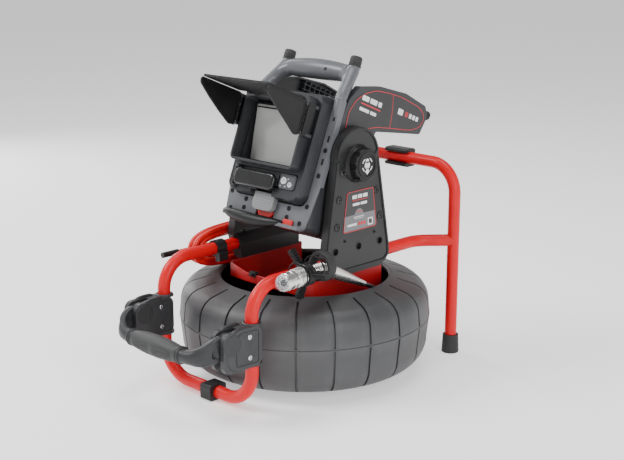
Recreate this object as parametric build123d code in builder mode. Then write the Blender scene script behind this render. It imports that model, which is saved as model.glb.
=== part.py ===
"""Pipe inspection camera: a cable reel in a tube frame with a docked, tilting monitor.

Millimetres, +Z up, -Y is the front (screen and carrying handle), +X is the tilt-knob side
that carries the camera head. The origin is on the floor, in the middle of the footprint.
"""

import os
from math import atan2, cos, degrees, radians, sin

from build123d import *

os.makedirs("parts", exist_ok=True)

# ---------------------------------------------------------------- driving dimensions
AXIS_Y = 49.7  # the reel's axis, measured from the middle of the footprint
DRUM_R = 195.0
HOLE_R = 130.0
RIM_Z = 147.5
SEAM_Z = 86.0
DRUM_BOTTOM = 9.0
TREADS = 22  # blocks round the drum's tread

TUBE_R = 9.5
RAIL_X = 96.0
RAIL_Z = 186.0
FRONT_Y = AXIS_Y - 202.0
BAR_Z = 11.8  # bottom bar of the front loop
SPLICE_Z = 140.0  # where the loop's uprights meet the rails' front bends
LEG_X = 138.0
LEG_Y = AXIS_Y + 195.0
ARCH_Z = 306.0
FOOT_H = 30.0

PIVOT_Y = AXIS_Y + 4.0
PIVOT_Z = 332.0
TILT = 22.0  # lean of the monitor at rest, degrees from upright
ARM_IN = 92.8  # inner face, outer face and split of each arm
ARM_SPLIT = 99.0
ARM_OUT = 106.0
ARM_HEAD_R = 46.0

CABLE_R = 3.35  # push cable
CORD_R = 4.0  # system cable
FIT = 0.05  # radial clearance of a running fit
GAP = 0.3  # clearance between pieces that move apart

WORLD_X = (1, 0, 0)
MONITOR = Plane(
    origin=(0, PIVOT_Y, PIVOT_Z),
    x_dir=WORLD_X,
    z_dir=(0, -cos(radians(TILT)), sin(radians(TILT))),
)


def at(x, from_axis, z):
    """A point given by its distance behind the reel's axis."""
    return (x, AXIS_Y + from_axis, z)


def on_monitor(x, up, out):
    """A point given across, up and out of the monitor's flange plane."""
    return MONITOR.from_local_coords((x, up, out))


def side_plane(x):
    """A plane across X: its local x is world Y and its local y is world Z."""
    return Plane(origin=(x, 0, 0), x_dir=(0, 1, 0), z_dir=WORLD_X)


def monitor_side(x):
    """A plane across X in the monitor's lean: local x runs back from the flange, local y up."""
    return Plane(origin=on_monitor(x, 0, 0), x_dir=-MONITOR.z_dir, z_dir=WORLD_X)


def rod(points, bends, radius):
    """A round bar or tube along straight runs joined by arcs."""
    with BuildPart() as bar:
        with BuildLine() as route:
            FilletPolyline(*points, radius=bends)
        start = route.line @ 0
        with BuildSketch(Plane(origin=start, z_dir=route.line % 0)):
            Circle(radius)
        sweep(path=route.line)
    return bar.part


# ---------------------------------------------------------------- tube frame
LOOP_BEND = 52.0
TOP_BEND = 45.0
RAIL_END_Y = 150.0

with BuildPart() as front_loop_tube:
    add(
        rod(
            [
                (-RAIL_X, FRONT_Y, SPLICE_Z),
                (-RAIL_X, FRONT_Y, BAR_Z),
                (RAIL_X, FRONT_Y, BAR_Z),
                (RAIL_X, FRONT_Y, SPLICE_Z),
            ],
            LOOP_BEND,
            TUBE_R,
        )
    )
front_loop_tube.part.label = "front_loop_tube"
export_step(front_loop_tube.part, "parts/front_loop_tube.step")


def rail_tube(side):
    """A front bend, the rail under the arm and the outward bend to the rear leg."""
    with BuildPart() as rail:
        add(
            rod(
                [
                    (side * RAIL_X, FRONT_Y, SPLICE_Z),
                    (side * RAIL_X, FRONT_Y, RAIL_Z),
                    at(side * RAIL_X, RAIL_END_Y, RAIL_Z),
                    (side * LEG_X, LEG_Y, RAIL_Z),
                ],
                TOP_BEND,
                TUBE_R,
            )
        )
        with Locations((side * LEG_X, LEG_Y, RAIL_Z)):
            Cylinder(TUBE_R, 60, mode=Mode.SUBTRACT)
            with Locations((side * 12, 12, 0)):
                Box(24, 24, 60, mode=Mode.SUBTRACT)
    return rail.part


with BuildPart() as rail_tubes:
    for side in (-1, 1):
        add(rail_tube(side))
rail_tubes.part.label = "rail_tubes"
export_step(rail_tubes.part, "parts/rail_tubes.step")

FOOT_SOLE = 6.0  # rubber under the end of each leg

with BuildPart() as rear_arch_tube:
    add(
        rod(
            [
                (-LEG_X, LEG_Y, FOOT_SOLE),
                (-LEG_X, LEG_Y, ARCH_Z),
                (LEG_X, LEG_Y, ARCH_Z),
                (LEG_X, LEG_Y, FOOT_SOLE),
            ],
            TOP_BEND,
            TUBE_R,
        )
    )
rear_arch_tube.part.label = "rear_arch_tube"
export_step(rear_arch_tube.part, "parts/rear_arch_tube.step")

with BuildPart() as rear_feet:
    with Locations((-LEG_X, LEG_Y, 0), (LEG_X, LEG_Y, 0)):
        Cone(14.0, 12.6, FOOT_H, align=(Align.CENTER, Align.CENTER, Align.MIN))
    soles = rear_feet.faces().filter_by(Plane.XY).group_by(Axis.Z)[0]
    fillet(soles.edges(), radius=1.5)
    with Locations((-LEG_X, LEG_Y, FOOT_SOLE), (LEG_X, LEG_Y, FOOT_SOLE)):
        Cylinder(
            TUBE_R,
            FOOT_H,
            align=(Align.CENTER, Align.CENTER, Align.MIN),
            mode=Mode.SUBTRACT,
        )
rear_feet.part.label = "rear_feet"
export_step(rear_feet.part, "parts/rear_feet.step")

# ---------------------------------------------------------------- clips on the tubes
FOOT_CLIP_X = 12.0
ARCH_CLIP_X = 24.0
RAIL_CLIP_Y = -94.0
RAIL_CLIP_L = 18.0

with BuildPart() as tube_clips:
    with BuildSketch(side_plane(FOOT_CLIP_X - 11)):
        with Locations((FRONT_Y - 0.5, BAR_Z)):
            RectangleRounded(31, 2 * BAR_Z, 4)
        with Locations((FRONT_Y, BAR_Z)):
            Circle(TUBE_R, mode=Mode.SUBTRACT)
    extrude(amount=22)
    with BuildSketch(side_plane(ARCH_CLIP_X - 22)):
        with Locations((LEG_Y + 1, ARCH_Z)):
            RectangleRounded(24, 29, 4)
        with Locations((LEG_Y, ARCH_Z)):
            Circle(TUBE_R, mode=Mode.SUBTRACT)
        with Locations((LEG_Y - 10, ARCH_Z)):
            Rectangle(14, 17, mode=Mode.SUBTRACT)
    extrude(amount=44)
    with BuildSketch(Plane.XZ.offset(-AXIS_Y - RAIL_CLIP_Y - RAIL_CLIP_L / 2)):
        with Locations((-RAIL_X, RAIL_Z)):
            Circle(TUBE_R + 3.0)
        with Locations((-RAIL_X + 9, RAIL_Z - 12)):
            RectangleRounded(10, 16, 3)
        with Locations((-RAIL_X, RAIL_Z)):
            Circle(TUBE_R, mode=Mode.SUBTRACT)
    extrude(amount=RAIL_CLIP_L)
tube_clips.part.label = "tube_clips"
export_step(tube_clips.part, "parts/tube_clips.step")

# ---------------------------------------------------------------- arms that carry the monitor
ARM_FOOT_Z = 172.0
CLAMP_OUT = 106.0  # outer and inner faces of the arm's foot, round the rail
CLAMP_IN = 82.0
CLAMP_FOOT_Z = 164.0
CLAMP_HEAD_Z = 202.0
CLAMP_Y = AXIS_Y + 6.0
CLAMP_L = 128.0


def arm_outline():
    """The tapered arm with its round head, drawn in world Y and Z."""
    head = PIVOT_Z + 8
    with BuildSketch() as outline:
        with BuildLine():
            Polyline(
                (PIVOT_Y - ARM_HEAD_R + 1, head),
                (AXIS_Y - 64, 200),
                (AXIS_Y - 58, ARM_FOOT_Z + 8),
                (AXIS_Y - 32, ARM_FOOT_Z),
                (AXIS_Y + 66, ARM_FOOT_Z),
                (AXIS_Y + 76, ARM_FOOT_Z + 10),
                (AXIS_Y + 75, 200),
                (PIVOT_Y + ARM_HEAD_R - 1, head),
            )
            ThreePointArc(
                (PIVOT_Y + ARM_HEAD_R - 1, head),
                (PIVOT_Y, head + ARM_HEAD_R),
                (PIVOT_Y - ARM_HEAD_R + 1, head),
            )
        make_face()
    return outline.sketch


SHAFT_R = 9.0  # pivot bosses of the monitor
ARM_SCREWS = [
    (-28.0, 322.4),
    (-35.0, 282.7),
    (-38.9, 242.5),
    (45.5, 285.7),
    (54.5, 245.7),
]
ARM_HOLES = [(-43.0, 206.5, 5), (7.3, 206.5, 5), (54.4, 206.5, 5), (-23.5, 219.5, 1.8), (41.5, 222.4, 1.8)]
SCREW_R = 2.0
SCREW_HEAD_R = 4.2
SCREW_HEAD_H = 2.4


def clamp_section(side, outer):
    """The foot's section round the rail, drawn in world X and Z, on one side of the split."""
    with BuildSketch() as section:
        with BuildLine():
            if outer:
                Polyline(
                    (side * ARM_SPLIT, ARM_FOOT_Z),
                    (side * (CLAMP_OUT - 2), ARM_FOOT_Z),
                    (side * CLAMP_OUT, ARM_FOOT_Z + 2),
                    (side * CLAMP_OUT, CLAMP_HEAD_Z - 4),
                    (side * ARM_OUT, CLAMP_HEAD_Z),
                    (side * ARM_SPLIT, CLAMP_HEAD_Z),
                    close=True,
                )
            else:
                Polyline(
                    (side * ARM_SPLIT, CLAMP_FOOT_Z),
                    (side * CLAMP_IN, CLAMP_FOOT_Z),
                    (side * CLAMP_IN, CLAMP_FOOT_Z + 23),
                    (side * (ARM_IN - 4), CLAMP_HEAD_Z - 4),
                    (side * ARM_IN, CLAMP_HEAD_Z),
                    (side * ARM_SPLIT, CLAMP_HEAD_Z),
                    close=True,
                )
        make_face()
    return section.sketch


def arm_shell(side, low, high, outer):
    """One half of an arm: the plate and its share of the rail clamp, low and high from x=0."""
    with BuildPart() as shell:
        with BuildSketch(side_plane(side * low)):
            add(arm_outline())
        extrude(amount=side * (high - low))
        with BuildSketch(Plane.XZ.offset(-CLAMP_Y - CLAMP_L / 2)):
            add(clamp_section(side, outer))
        extrude(amount=CLAMP_L)
        with Locations(Location(at(side * RAIL_X, 0, RAIL_Z), (90, 0, 0))):
            Cylinder(TUBE_R, 400, mode=Mode.SUBTRACT)
        with Locations(Location((side * RAIL_X, PIVOT_Y, PIVOT_Z), (0, 90, 0))):
            Cylinder(SHAFT_R + FIT, 60, mode=Mode.SUBTRACT)
        for back, z in ARM_SCREWS:
            with Locations(Location(at(side * RAIL_X, back, z), (0, 90, 0))):
                Cylinder(SCREW_R, 60, mode=Mode.SUBTRACT)
            if outer:
                face = side * (ARM_OUT - SCREW_HEAD_H / 2)
                with Locations(Location(at(face, back, z), (0, 90, 0))):
                    Cylinder(SCREW_HEAD_R, SCREW_HEAD_H, mode=Mode.SUBTRACT)
        for back, z, radius in ARM_HOLES:
            with Locations(Location(at(side * RAIL_X, back, z), (0, 90, 0))):
                Cylinder(radius, 60, mode=Mode.SUBTRACT)
    return shell


arm_left_outer = arm_shell(-1, ARM_SPLIT, ARM_OUT, True)
arm_left_outer.part.label = "arm_left_outer"
export_step(arm_left_outer.part, "parts/arm_left_outer.step")

arm_left_inner = arm_shell(-1, ARM_IN, ARM_SPLIT, False)
arm_left_inner.part.label = "arm_left_inner"
export_step(arm_left_inner.part, "parts/arm_left_inner.step")

arm_right_outer = arm_shell(1, ARM_SPLIT, ARM_OUT, True)
arm_right_outer.part.label = "arm_right_outer"
export_step(arm_right_outer.part, "parts/arm_right_outer.step")

arm_right_inner = arm_shell(1, ARM_IN, ARM_SPLIT, False)
arm_right_inner.part.label = "arm_right_inner"
export_step(arm_right_inner.part, "parts/arm_right_inner.step")


def cross_screw(x_end, x_head, y, z, head_r=SCREW_HEAD_R):
    """A screw along X whose head's outer face is at x_head."""
    way = 1 if x_head > x_end else -1
    shank = Plane(origin=(x_end, y, z), z_dir=(way, 0, 0))
    with BuildPart() as screw:
        with BuildSketch(shank):
            Circle(SCREW_R)
        extrude(amount=abs(x_head - x_end))
        with BuildSketch(Plane(origin=(x_head, y, z), z_dir=(-way, 0, 0))):
            Circle(head_r)
        extrude(amount=SCREW_HEAD_H)
        with BuildSketch(Plane(origin=(x_head, y, z), z_dir=(-way, 0, 0))):
            RegularPolygon(1.6, 6)
        extrude(amount=1.4, mode=Mode.SUBTRACT)
    return screw.part


# ---------------------------------------------------------------- hub carrier pan
PAN_X = 88.0
PAN_FLOOR = 126.0
PAN_WALL = 2.5
PAN_BACK = 80.0
PAN_RAMP = -42.0  # where the floor starts to climb to the front
PAN_FRONT = -103.0
RAMP_TOP = 149.0
LIP_TOP = 161.0
LIP_BACK = -60.0


def pan_outline():
    """The pan seen from above: square at the back, three-sided at the front."""
    with BuildSketch() as outline:
        with BuildLine():
            Polyline(
                at(-PAN_X, PAN_BACK, 0)[:2],
                at(-PAN_X, -72, 0)[:2],
                at(-PAN_X + 6, -81, 0)[:2],
                at(-22, PAN_FRONT, 0)[:2],
                at(22, PAN_FRONT, 0)[:2],
                at(PAN_X - 6, -81, 0)[:2],
                at(PAN_X, -72, 0)[:2],
                at(PAN_X, PAN_BACK, 0)[:2],
                close=True,
            )
        make_face()
    return outline.sketch


def pan_hollow():
    """The room inside the pan: level at the back, climbing at the front, with no rear wall."""
    with BuildPart() as hollow:
        with BuildSketch(Plane.XY.offset(PAN_FLOOR)):
            add(pan_outline())
            offset(amount=-PAN_WALL, mode=Mode.REPLACE)
            with Locations(at(0, PAN_BACK, 0)[:2]):
                Rectangle(2 * (PAN_X - PAN_WALL), 20)
        extrude(amount=50)
        with BuildSketch(side_plane(-PAN_X)):
            with BuildLine():
                Polyline(
                    (AXIS_Y + PAN_BACK + 20, PAN_FLOOR + PAN_WALL),
                    (AXIS_Y + PAN_RAMP, PAN_FLOOR + PAN_WALL),
                    (AXIS_Y + PAN_FRONT, RAMP_TOP + PAN_WALL),
                    (AXIS_Y + PAN_FRONT, PAN_FLOOR + 50),
                    (AXIS_Y + PAN_BACK + 20, PAN_FLOOR + 50),
                    close=True,
                )
            make_face()
        extrude(amount=2 * PAN_X, mode=Mode.INTERSECT)
    return hollow.part


AXLE_R = 10.0

with BuildPart() as hub_carrier_pan:
    with BuildSketch(Plane.XY.offset(PAN_FLOOR)):
        add(pan_outline())
    extrude(amount=CLAMP_FOOT_Z - PAN_FLOOR)
    add(pan_hollow(), mode=Mode.SUBTRACT)
    with BuildSketch(side_plane(-PAN_X - 1)):
        with BuildLine():
            Polyline(
                (AXIS_Y + PAN_RAMP, PAN_FLOOR),
                (AXIS_Y + PAN_FRONT - 1, RAMP_TOP + 0.4),
                (AXIS_Y + PAN_FRONT - 1, PAN_FLOOR - 1),
                (AXIS_Y + PAN_RAMP, PAN_FLOOR - 1),
                close=True,
            )
        make_face()
    extrude(amount=2 * PAN_X + 2, mode=Mode.SUBTRACT)
    with Locations(at(0, LIP_BACK - 30, (LIP_TOP + CLAMP_FOOT_Z) / 2 + 1)):
        Box(2 * PAN_X + 2, 60, CLAMP_FOOT_Z - LIP_TOP + 2, mode=Mode.SUBTRACT)
    with Locations(at(0, 0, PAN_FLOOR)):
        Cylinder(AXLE_R, 30, mode=Mode.SUBTRACT)
hub_carrier_pan.part.label = "hub_carrier_pan"
export_step(hub_carrier_pan.part, "parts/hub_carrier_pan.step")

# ---------------------------------------------------------------- reel: axle, bearing, drum
BEARING_R = 21.0
BEARING_H = 12.0
BEARING_Z = 84.0
AXLE_FOOT_Z = 70.0
HUB_TOP = 104.0

with BuildPart() as hub_axle:
    with BuildSketch(Plane.XY.offset(AXLE_FOOT_Z)):
        with Locations(at(0, 0, 0)[:2]):
            Circle(AXLE_R)
    extrude(amount=PAN_FLOOR + PAN_WALL - AXLE_FOOT_Z)
    with BuildSketch(Plane.XY.offset(HUB_TOP + 4)):
        with Locations(at(0, 0, 0)[:2]):
            Circle(30)
            Circle(AXLE_R, mode=Mode.SUBTRACT)
    extrude(amount=PAN_FLOOR - HUB_TOP - 4)
hub_axle.part.label = "hub_axle"
export_step(hub_axle.part, "parts/hub_axle.step")

with BuildPart() as hub_bearing:
    with BuildSketch(Plane.XY.offset(BEARING_Z)):
        with Locations(at(0, 0, 0)[:2]):
            Circle(BEARING_R)
            Circle(AXLE_R + FIT, mode=Mode.SUBTRACT)
    extrude(amount=BEARING_H)
    with BuildSketch(Plane.XY.offset(BEARING_Z)):
        with Locations(at(0, 0, 0)[:2]):
            Circle(18)
            Circle(14, mode=Mode.SUBTRACT)
    extrude(amount=1, mode=Mode.SUBTRACT)
    with BuildSketch(Plane.XY.offset(BEARING_Z + BEARING_H - 1)):
        with Locations(at(0, 0, 0)[:2]):
            Circle(18)
            Circle(14, mode=Mode.SUBTRACT)
    extrude(amount=1, mode=Mode.SUBTRACT)
hub_bearing.part.label = "hub_bearing"
export_step(hub_bearing.part, "parts/hub_bearing.step")

REEL_AXIS = Axis(at(0, 0, 0), (0, 0, 1))
REEL_SECTION = Plane(origin=at(0, 0, 0), x_dir=WORLD_X, z_dir=(0, -1, 0))
SHOULDER = [(DRUM_R - 2, 108), (DRUM_R - 9, 127), (DRUM_R - 26, 138)]
BELLY = [(DRUM_R - 4, 50), (DRUM_R - 9, 30), (DRUM_R - 24, 15)]
GROOVE_W = 3.6
GROOVE_D = 2.6


def inward(point, depth, down):
    """A skin point moved into the shell: inward, and down on top or up underneath."""
    return (point[0] - depth, point[1] - down)


def groove_cutter(skin, first, last, down):
    """A slab that cuts one groove: everything outside the skin lowered by the groove's depth."""
    low = [inward(p, GROOVE_D, down) for p in skin]
    beyond = DRUM_R + 10
    past = last[1] + 20 * (1 if down > 0 else -1)
    with BuildPart() as cutter:
        with BuildSketch(Plane.XZ):
            with BuildLine():
                Line((first[0] - GROOVE_D, first[1]), low[0])
                ThreePointArc(*low)
                Line(low[2], last)
                Polyline(last, (last[0], past), (beyond, past), (beyond, first[1]),
                         (first[0] - GROOVE_D, first[1]))
            make_face()
        extrude(amount=GROOVE_W / 2, both=True)
    return cutter.part


with BuildPart() as drum_upper_shell:
    with BuildSketch(REEL_SECTION):
        with BuildLine():
            Line((DRUM_R, SEAM_Z), SHOULDER[0])
            ThreePointArc(*SHOULDER)
            Line(SHOULDER[2], (HOLE_R + 5, RIM_Z))
            ThreePointArc((HOLE_R + 5, RIM_Z), (HOLE_R, RIM_Z - 4), (HOLE_R + 5, RIM_Z - 8))
            Line((HOLE_R + 5, RIM_Z - 8), (DRUM_R - 28, 133))
            ThreePointArc((DRUM_R - 28, 133), (DRUM_R - 14, 123), (DRUM_R - 7, 106))
            Polyline((DRUM_R - 7, 106), (DRUM_R - 5, SEAM_Z), (DRUM_R, SEAM_Z))
        make_face()
    revolve(axis=REEL_AXIS)
    upper_cutter = groove_cutter(SHOULDER, (DRUM_R, SEAM_Z + 2), (HOLE_R + 14, 141.5), 2.0)
    with Locations(at(0, 0, 0)):
        with PolarLocations(0, TREADS):
            add(upper_cutter, mode=Mode.SUBTRACT)
drum_upper_shell.part.label = "drum_upper_shell"
export_step(drum_upper_shell.part, "parts/drum_upper_shell.step")

FLOOR_T = 4.0
RIBS = 8
HUB_FOOT_R = 96.0
DRUM_SCREW_RING = HUB_FOOT_R + 6

with BuildPart() as drum_lower_shell:
    with BuildSketch(REEL_SECTION):
        with BuildLine():
            Line((DRUM_R, SEAM_Z), BELLY[0])
            ThreePointArc(*BELLY)
            Polyline(
                BELLY[2],
                (DRUM_R - 40, DRUM_BOTTOM),
                (BEARING_R + 8, DRUM_BOTTOM),
                (BEARING_R + 8, DRUM_BOTTOM + FLOOR_T),
                (DRUM_R - 41, DRUM_BOTTOM + FLOOR_T),
                (DRUM_R - 28, 19),
            )
            ThreePointArc((DRUM_R - 28, 19), (DRUM_R - 14, 32), (DRUM_R - 9, 50))
            Polyline((DRUM_R - 9, 50), (DRUM_R - 5, SEAM_Z), (DRUM_R, SEAM_Z))
        make_face()
    revolve(axis=REEL_AXIS)
    lower_cutter = groove_cutter(BELLY, (DRUM_R, SEAM_Z - 2), (DRUM_R - 34, 14.0), -2.0)
    with Locations(at(0, 0, 0)):
        with PolarLocations(0, TREADS):
            add(lower_cutter, mode=Mode.SUBTRACT)
    with Locations(at(0, 0, DRUM_BOTTOM)):
        with PolarLocations(DRUM_SCREW_RING, RIBS, start_angle=22.5):
            Cylinder(SCREW_R, 30, mode=Mode.SUBTRACT)
drum_lower_shell.part.label = "drum_lower_shell"
export_step(drum_lower_shell.part, "parts/drum_lower_shell.step")

with BuildPart() as drum_hub:
    with BuildSketch(REEL_SECTION):
        with BuildLine():
            Polyline(
                (BEARING_R, BEARING_Z),
                (BEARING_R, HUB_TOP),
                (40, HUB_TOP),
                (60, HUB_TOP - 12),
                (HUB_FOOT_R, 20),
                (HUB_FOOT_R + 14, DRUM_BOTTOM + FLOOR_T + 3),
                (HUB_FOOT_R + 14, DRUM_BOTTOM + FLOOR_T),
                (HUB_FOOT_R - 4, DRUM_BOTTOM + FLOOR_T),
                (56, HUB_TOP - 15),
                (AXLE_R + 4, HUB_TOP - 24),
                (AXLE_R + 4, BEARING_Z),
                close=True,
            )
        make_face()
    revolve(axis=REEL_AXIS)
    with Locations(at(0, 0, HUB_TOP - 6)):
        with PolarLocations(50, RIBS):
            Cylinder(3.0, 30, mode=Mode.SUBTRACT)
    with Locations(at(0, 0, DRUM_BOTTOM)):
        with PolarLocations(DRUM_SCREW_RING, RIBS, start_angle=22.5):
            Cylinder(SCREW_R, 30, mode=Mode.SUBTRACT)
drum_hub.part.label = "drum_hub"
export_step(drum_hub.part, "parts/drum_hub.step")

COIL_IN = 140.0
COIL_OUT = DRUM_R - 12.0
COIL_LOW = 20.5
COIL_TOP = 56.0

with BuildPart() as push_cable_coil:
    with BuildSketch(REEL_SECTION):
        with Locations(((COIL_IN + COIL_OUT - 5) / 2, (COIL_LOW + COIL_TOP) / 2 + 2)):
            RectangleRounded(COIL_OUT - 5 - COIL_IN, COIL_TOP - COIL_LOW, 12)
    revolve(axis=REEL_AXIS)
push_cable_coil.part.label = "push_cable_coil"
export_step(push_cable_coil.part, "parts/push_cable_coil.step")

with BuildPart() as drum_screws:
    with Locations(at(0, 0, DRUM_BOTTOM - 1.5)):
        with PolarLocations(DRUM_SCREW_RING, RIBS, start_angle=22.5):
            Cylinder(4, 1.5, align=(Align.CENTER, Align.CENTER, Align.MIN))
            Cylinder(SCREW_R, 7, align=(Align.CENTER, Align.CENTER, Align.MIN))
drum_screws.part.label = "drum_screws"
export_step(drum_screws.part, "parts/drum_screws.step")

with BuildPart() as slip_ring_housing:
    with BuildSketch(Plane.XY.offset(PAN_FLOOR + PAN_WALL)):
        with Locations(at(0, 0, 0)[:2]):
            Circle(26)
    extrude(amount=20, taper=4)
    fillet(faces().sort_by(Axis.Z)[-1].edges(), 3)
    with Locations(Location(at(-30, 0, PAN_FLOOR + PAN_WALL + 8), (0, 90, 0))):
        Cylinder(6, 16)
slip_ring_housing.part.label = "slip_ring_housing"
export_step(slip_ring_housing.part, "parts/slip_ring_housing.step")

# ---------------------------------------------------------------- camera head and push cable
RING_CENTRE = at(125, -90, 197)
HEAD_WAY = Vector(5, -95, -5).normalized()
RING_R = 14.5


def on_head(along):
    """A plane across the camera head's axis, this far in front of the storage ring."""
    centre = Vector(*RING_CENTRE) + HEAD_WAY * along
    return Plane(origin=centre, x_dir=Vector(0, 0, 1).cross(HEAD_WAY), z_dir=HEAD_WAY)


with BuildPart() as ring_holder:
    with BuildSketch(Plane.XZ.offset(-AXIS_Y + 90 - 7)):
        with Locations((RING_CENTRE[0], RING_CENTRE[2])):
            Circle(20)
        with Locations((RAIL_X, RAIL_Z)):
            Circle(TUBE_R + 3.5)
        with Locations((RAIL_X + 13, RAIL_Z + 4)):
            Rectangle(18, 12)
        with Locations((RING_CENTRE[0], RING_CENTRE[2])):
            Circle(RING_R, mode=Mode.SUBTRACT)
        with Locations((RAIL_X, RAIL_Z)):
            Circle(TUBE_R, mode=Mode.SUBTRACT)
    extrude(amount=14)
ring_holder.part.label = "ring_holder"
export_step(ring_holder.part, "parts/ring_holder.step")

HEAD_R = 12.5
HEAD_BACK = 46.0
HEAD_FRONT = 82.0
SPRING_R = 9.5

with BuildPart() as camera_head:
    with BuildSketch(on_head(HEAD_BACK)):
        Circle(HEAD_R)
    extrude(amount=HEAD_FRONT - HEAD_BACK)
    for along in (49, 54, 59):
        with BuildSketch(on_head(along)):
            Circle(HEAD_R + 0.9)
            Circle(HEAD_R, mode=Mode.SUBTRACT)
        extrude(amount=2.4)
    with BuildSketch(on_head(HEAD_FRONT - 6)):
        Circle(HEAD_R)
        Circle(HEAD_R - 1.2, mode=Mode.SUBTRACT)
    extrude(amount=2, mode=Mode.SUBTRACT)
camera_head.part.label = "camera_head"
export_step(camera_head.part, "parts/camera_head.step")

with BuildPart() as camera_window:
    with BuildSketch(on_head(HEAD_FRONT)):
        Circle(11.5)
    extrude(amount=9)
    fillet(faces().sort_by(Axis.Y)[0].edges(), 6)
camera_window.part.label = "camera_window"
export_step(camera_window.part, "parts/camera_window.step")

GUIDE_BACK = 30.0
GUIDE_H = 12.0
FIN_R = 41.0
FIN_WAY = 130  # the first fin points up and in over the rail

with BuildPart() as star_guide:
    with BuildSketch(on_head(GUIDE_BACK)):
        Circle(16)
        with PolarLocations((FIN_R + 14) / 2, 3, start_angle=FIN_WAY):
            Rectangle(FIN_R - 14, 5)
        for tooth in range(4):
            with PolarLocations(24 + 5 * tooth, 3, start_angle=FIN_WAY):
                Rectangle(2.2, 9)
        Circle(SPRING_R + 0.3, mode=Mode.SUBTRACT)
    extrude(amount=GUIDE_H)
star_guide.part.label = "star_guide"
export_step(star_guide.part, "parts/star_guide.step")

SPRING_END = Vector(*at(117, 8, 150))
SPRING_AHEAD = Vector(*RING_CENTRE) + HEAD_WAY * HEAD_BACK
SPRING_WAY = (SPRING_END - Vector(*RING_CENTRE)).normalized()
SPRING_BEND = Vector(*RING_CENTRE) + SPRING_WAY * 50
SPRING_TAPER_L = (SPRING_END - SPRING_BEND).length
SPRING_SLOPE = degrees(atan2(SPRING_R - CABLE_R - 1, SPRING_TAPER_L))

with BuildPart() as camera_spring:
    add(rod([SPRING_AHEAD, RING_CENTRE, SPRING_BEND], 60, SPRING_R))
    with BuildSketch(Plane(origin=SPRING_BEND, z_dir=SPRING_WAY)):
        Circle(SPRING_R)
    extrude(amount=SPRING_TAPER_L, taper=SPRING_SLOPE)
camera_spring.part.label = "camera_spring"
export_step(camera_spring.part, "parts/camera_spring.step")

LEAD_ROUTE = [
    at(117, 8, 150),
    at(109, 61, 125),
    at(70, 112, 101),
    at(8, 142, 84),
    at(-55, 148, 71),
    at(-98, 127, 62.2),
]


def cord_radii(route):
    """The largest arc that each corner of a cord's route has room for."""
    radii = []
    for before, corner, after in zip(route, route[1:], route[2:]):
        first = Vector(*corner) - Vector(*before)
        second = Vector(*after) - Vector(*corner)
        half_turn = radians(first.get_angle(second) / 2)
        shorter = min(first.length, second.length)
        radii.append(0.45 * shorter * cos(half_turn) / sin(half_turn))
    return radii


with BuildPart() as push_cable_lead:
    add(rod(LEAD_ROUTE, cord_radii(LEAD_ROUTE), CABLE_R))
    add(camera_spring.part, mode=Mode.SUBTRACT)
push_cable_lead.part.label = "push_cable_lead"
export_step(push_cable_lead.part, "parts/push_cable_lead.step")

# ---------------------------------------------------------------- system cable and its hooks
HOOK_R = 3.0
HOOK_X = -140.0
HOOK_Z = 179.0
FRONT_HOOK = -60.0
REAR_HOOK = 45.0
FRONT_TIP = -168.0
REAR_TIP = 108.0
CAP_R = 4.5
CAP_L = 30.0

with BuildPart() as cable_hooks:
    for prong, tip in [(FRONT_HOOK, FRONT_TIP + 3), (REAR_HOOK, REAR_TIP - 3)]:
        start = at(-RAIL_X - 4, prong, HOOK_Z)
        corner = at(HOOK_X, prong, HOOK_Z)
        add(rod([start, corner, at(HOOK_X, tip, HOOK_Z)], 9, HOOK_R))
    with Locations(Location(at(-RAIL_X, 0, RAIL_Z), (90, 0, 0))):
        Cylinder(TUBE_R, 300, mode=Mode.SUBTRACT)
    for side_shell in (arm_left_outer, arm_left_inner):
        add(side_shell.part, mode=Mode.SUBTRACT)
cable_hooks.part.label = "cable_hooks"
export_step(cable_hooks.part, "parts/cable_hooks.step")

with BuildPart() as hook_caps:
    for tip, way in [(FRONT_TIP, 1), (REAR_TIP, -1)]:
        with BuildSketch(Plane(origin=at(HOOK_X, tip, HOOK_Z), z_dir=(0, way, 0))):
            Circle(CAP_R)
        extrude(amount=CAP_L)
        with BuildSketch(Plane(origin=at(HOOK_X, tip + 3 * way, HOOK_Z), z_dir=(0, way, 0))):
            Circle(HOOK_R)
        extrude(amount=CAP_L, mode=Mode.SUBTRACT)
hook_caps.part.label = "hook_caps"
export_step(hook_caps.part, "parts/hook_caps.step")

HANK_X = -123.0
HANK_W = 22.0
HANK_FRONT = -126.0
HANK_BACK = 92.0
HANK_LOW = 152.0
HANK_TOP = 208.0
HOLE_LOW = 166.0
HOLE_TOP = 183.0
HANK_END = 28.0  # from the hank's ends to its hole

with BuildPart() as system_cable_coil:
    with BuildSketch(side_plane(HANK_X - HANK_W / 2)):
        with Locations((AXIS_Y + (HANK_FRONT + HANK_BACK) / 2, (HANK_LOW + HANK_TOP) / 2)):
            SlotOverall(HANK_BACK - HANK_FRONT, HANK_TOP - HANK_LOW)
        with Locations((AXIS_Y + (HANK_FRONT + HANK_BACK) / 2, (HOLE_LOW + HOLE_TOP) / 2)):
            SlotOverall(
                HANK_BACK - HANK_FRONT - 2 * HANK_END,
                HOLE_TOP - HOLE_LOW,
                mode=Mode.SUBTRACT,
            )
    extrude(amount=HANK_W)
system_cable_coil.part.label = "system_cable_coil"
export_step(system_cable_coil.part, "parts/system_cable_coil.step")

GLAND = at(-PAN_X, -10, 155)
GLAND_L = 12.0
GLAND_WAY = Vector(-1, 1, 0).normalized()
LEAD_START = Vector(*GLAND) + GLAND_WAY * GLAND_L
LEAD_END_X = HANK_X + HANK_W / 2
LEAD_L = (LEAD_START.X - LEAD_END_X) / -GLAND_WAY.X

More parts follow.
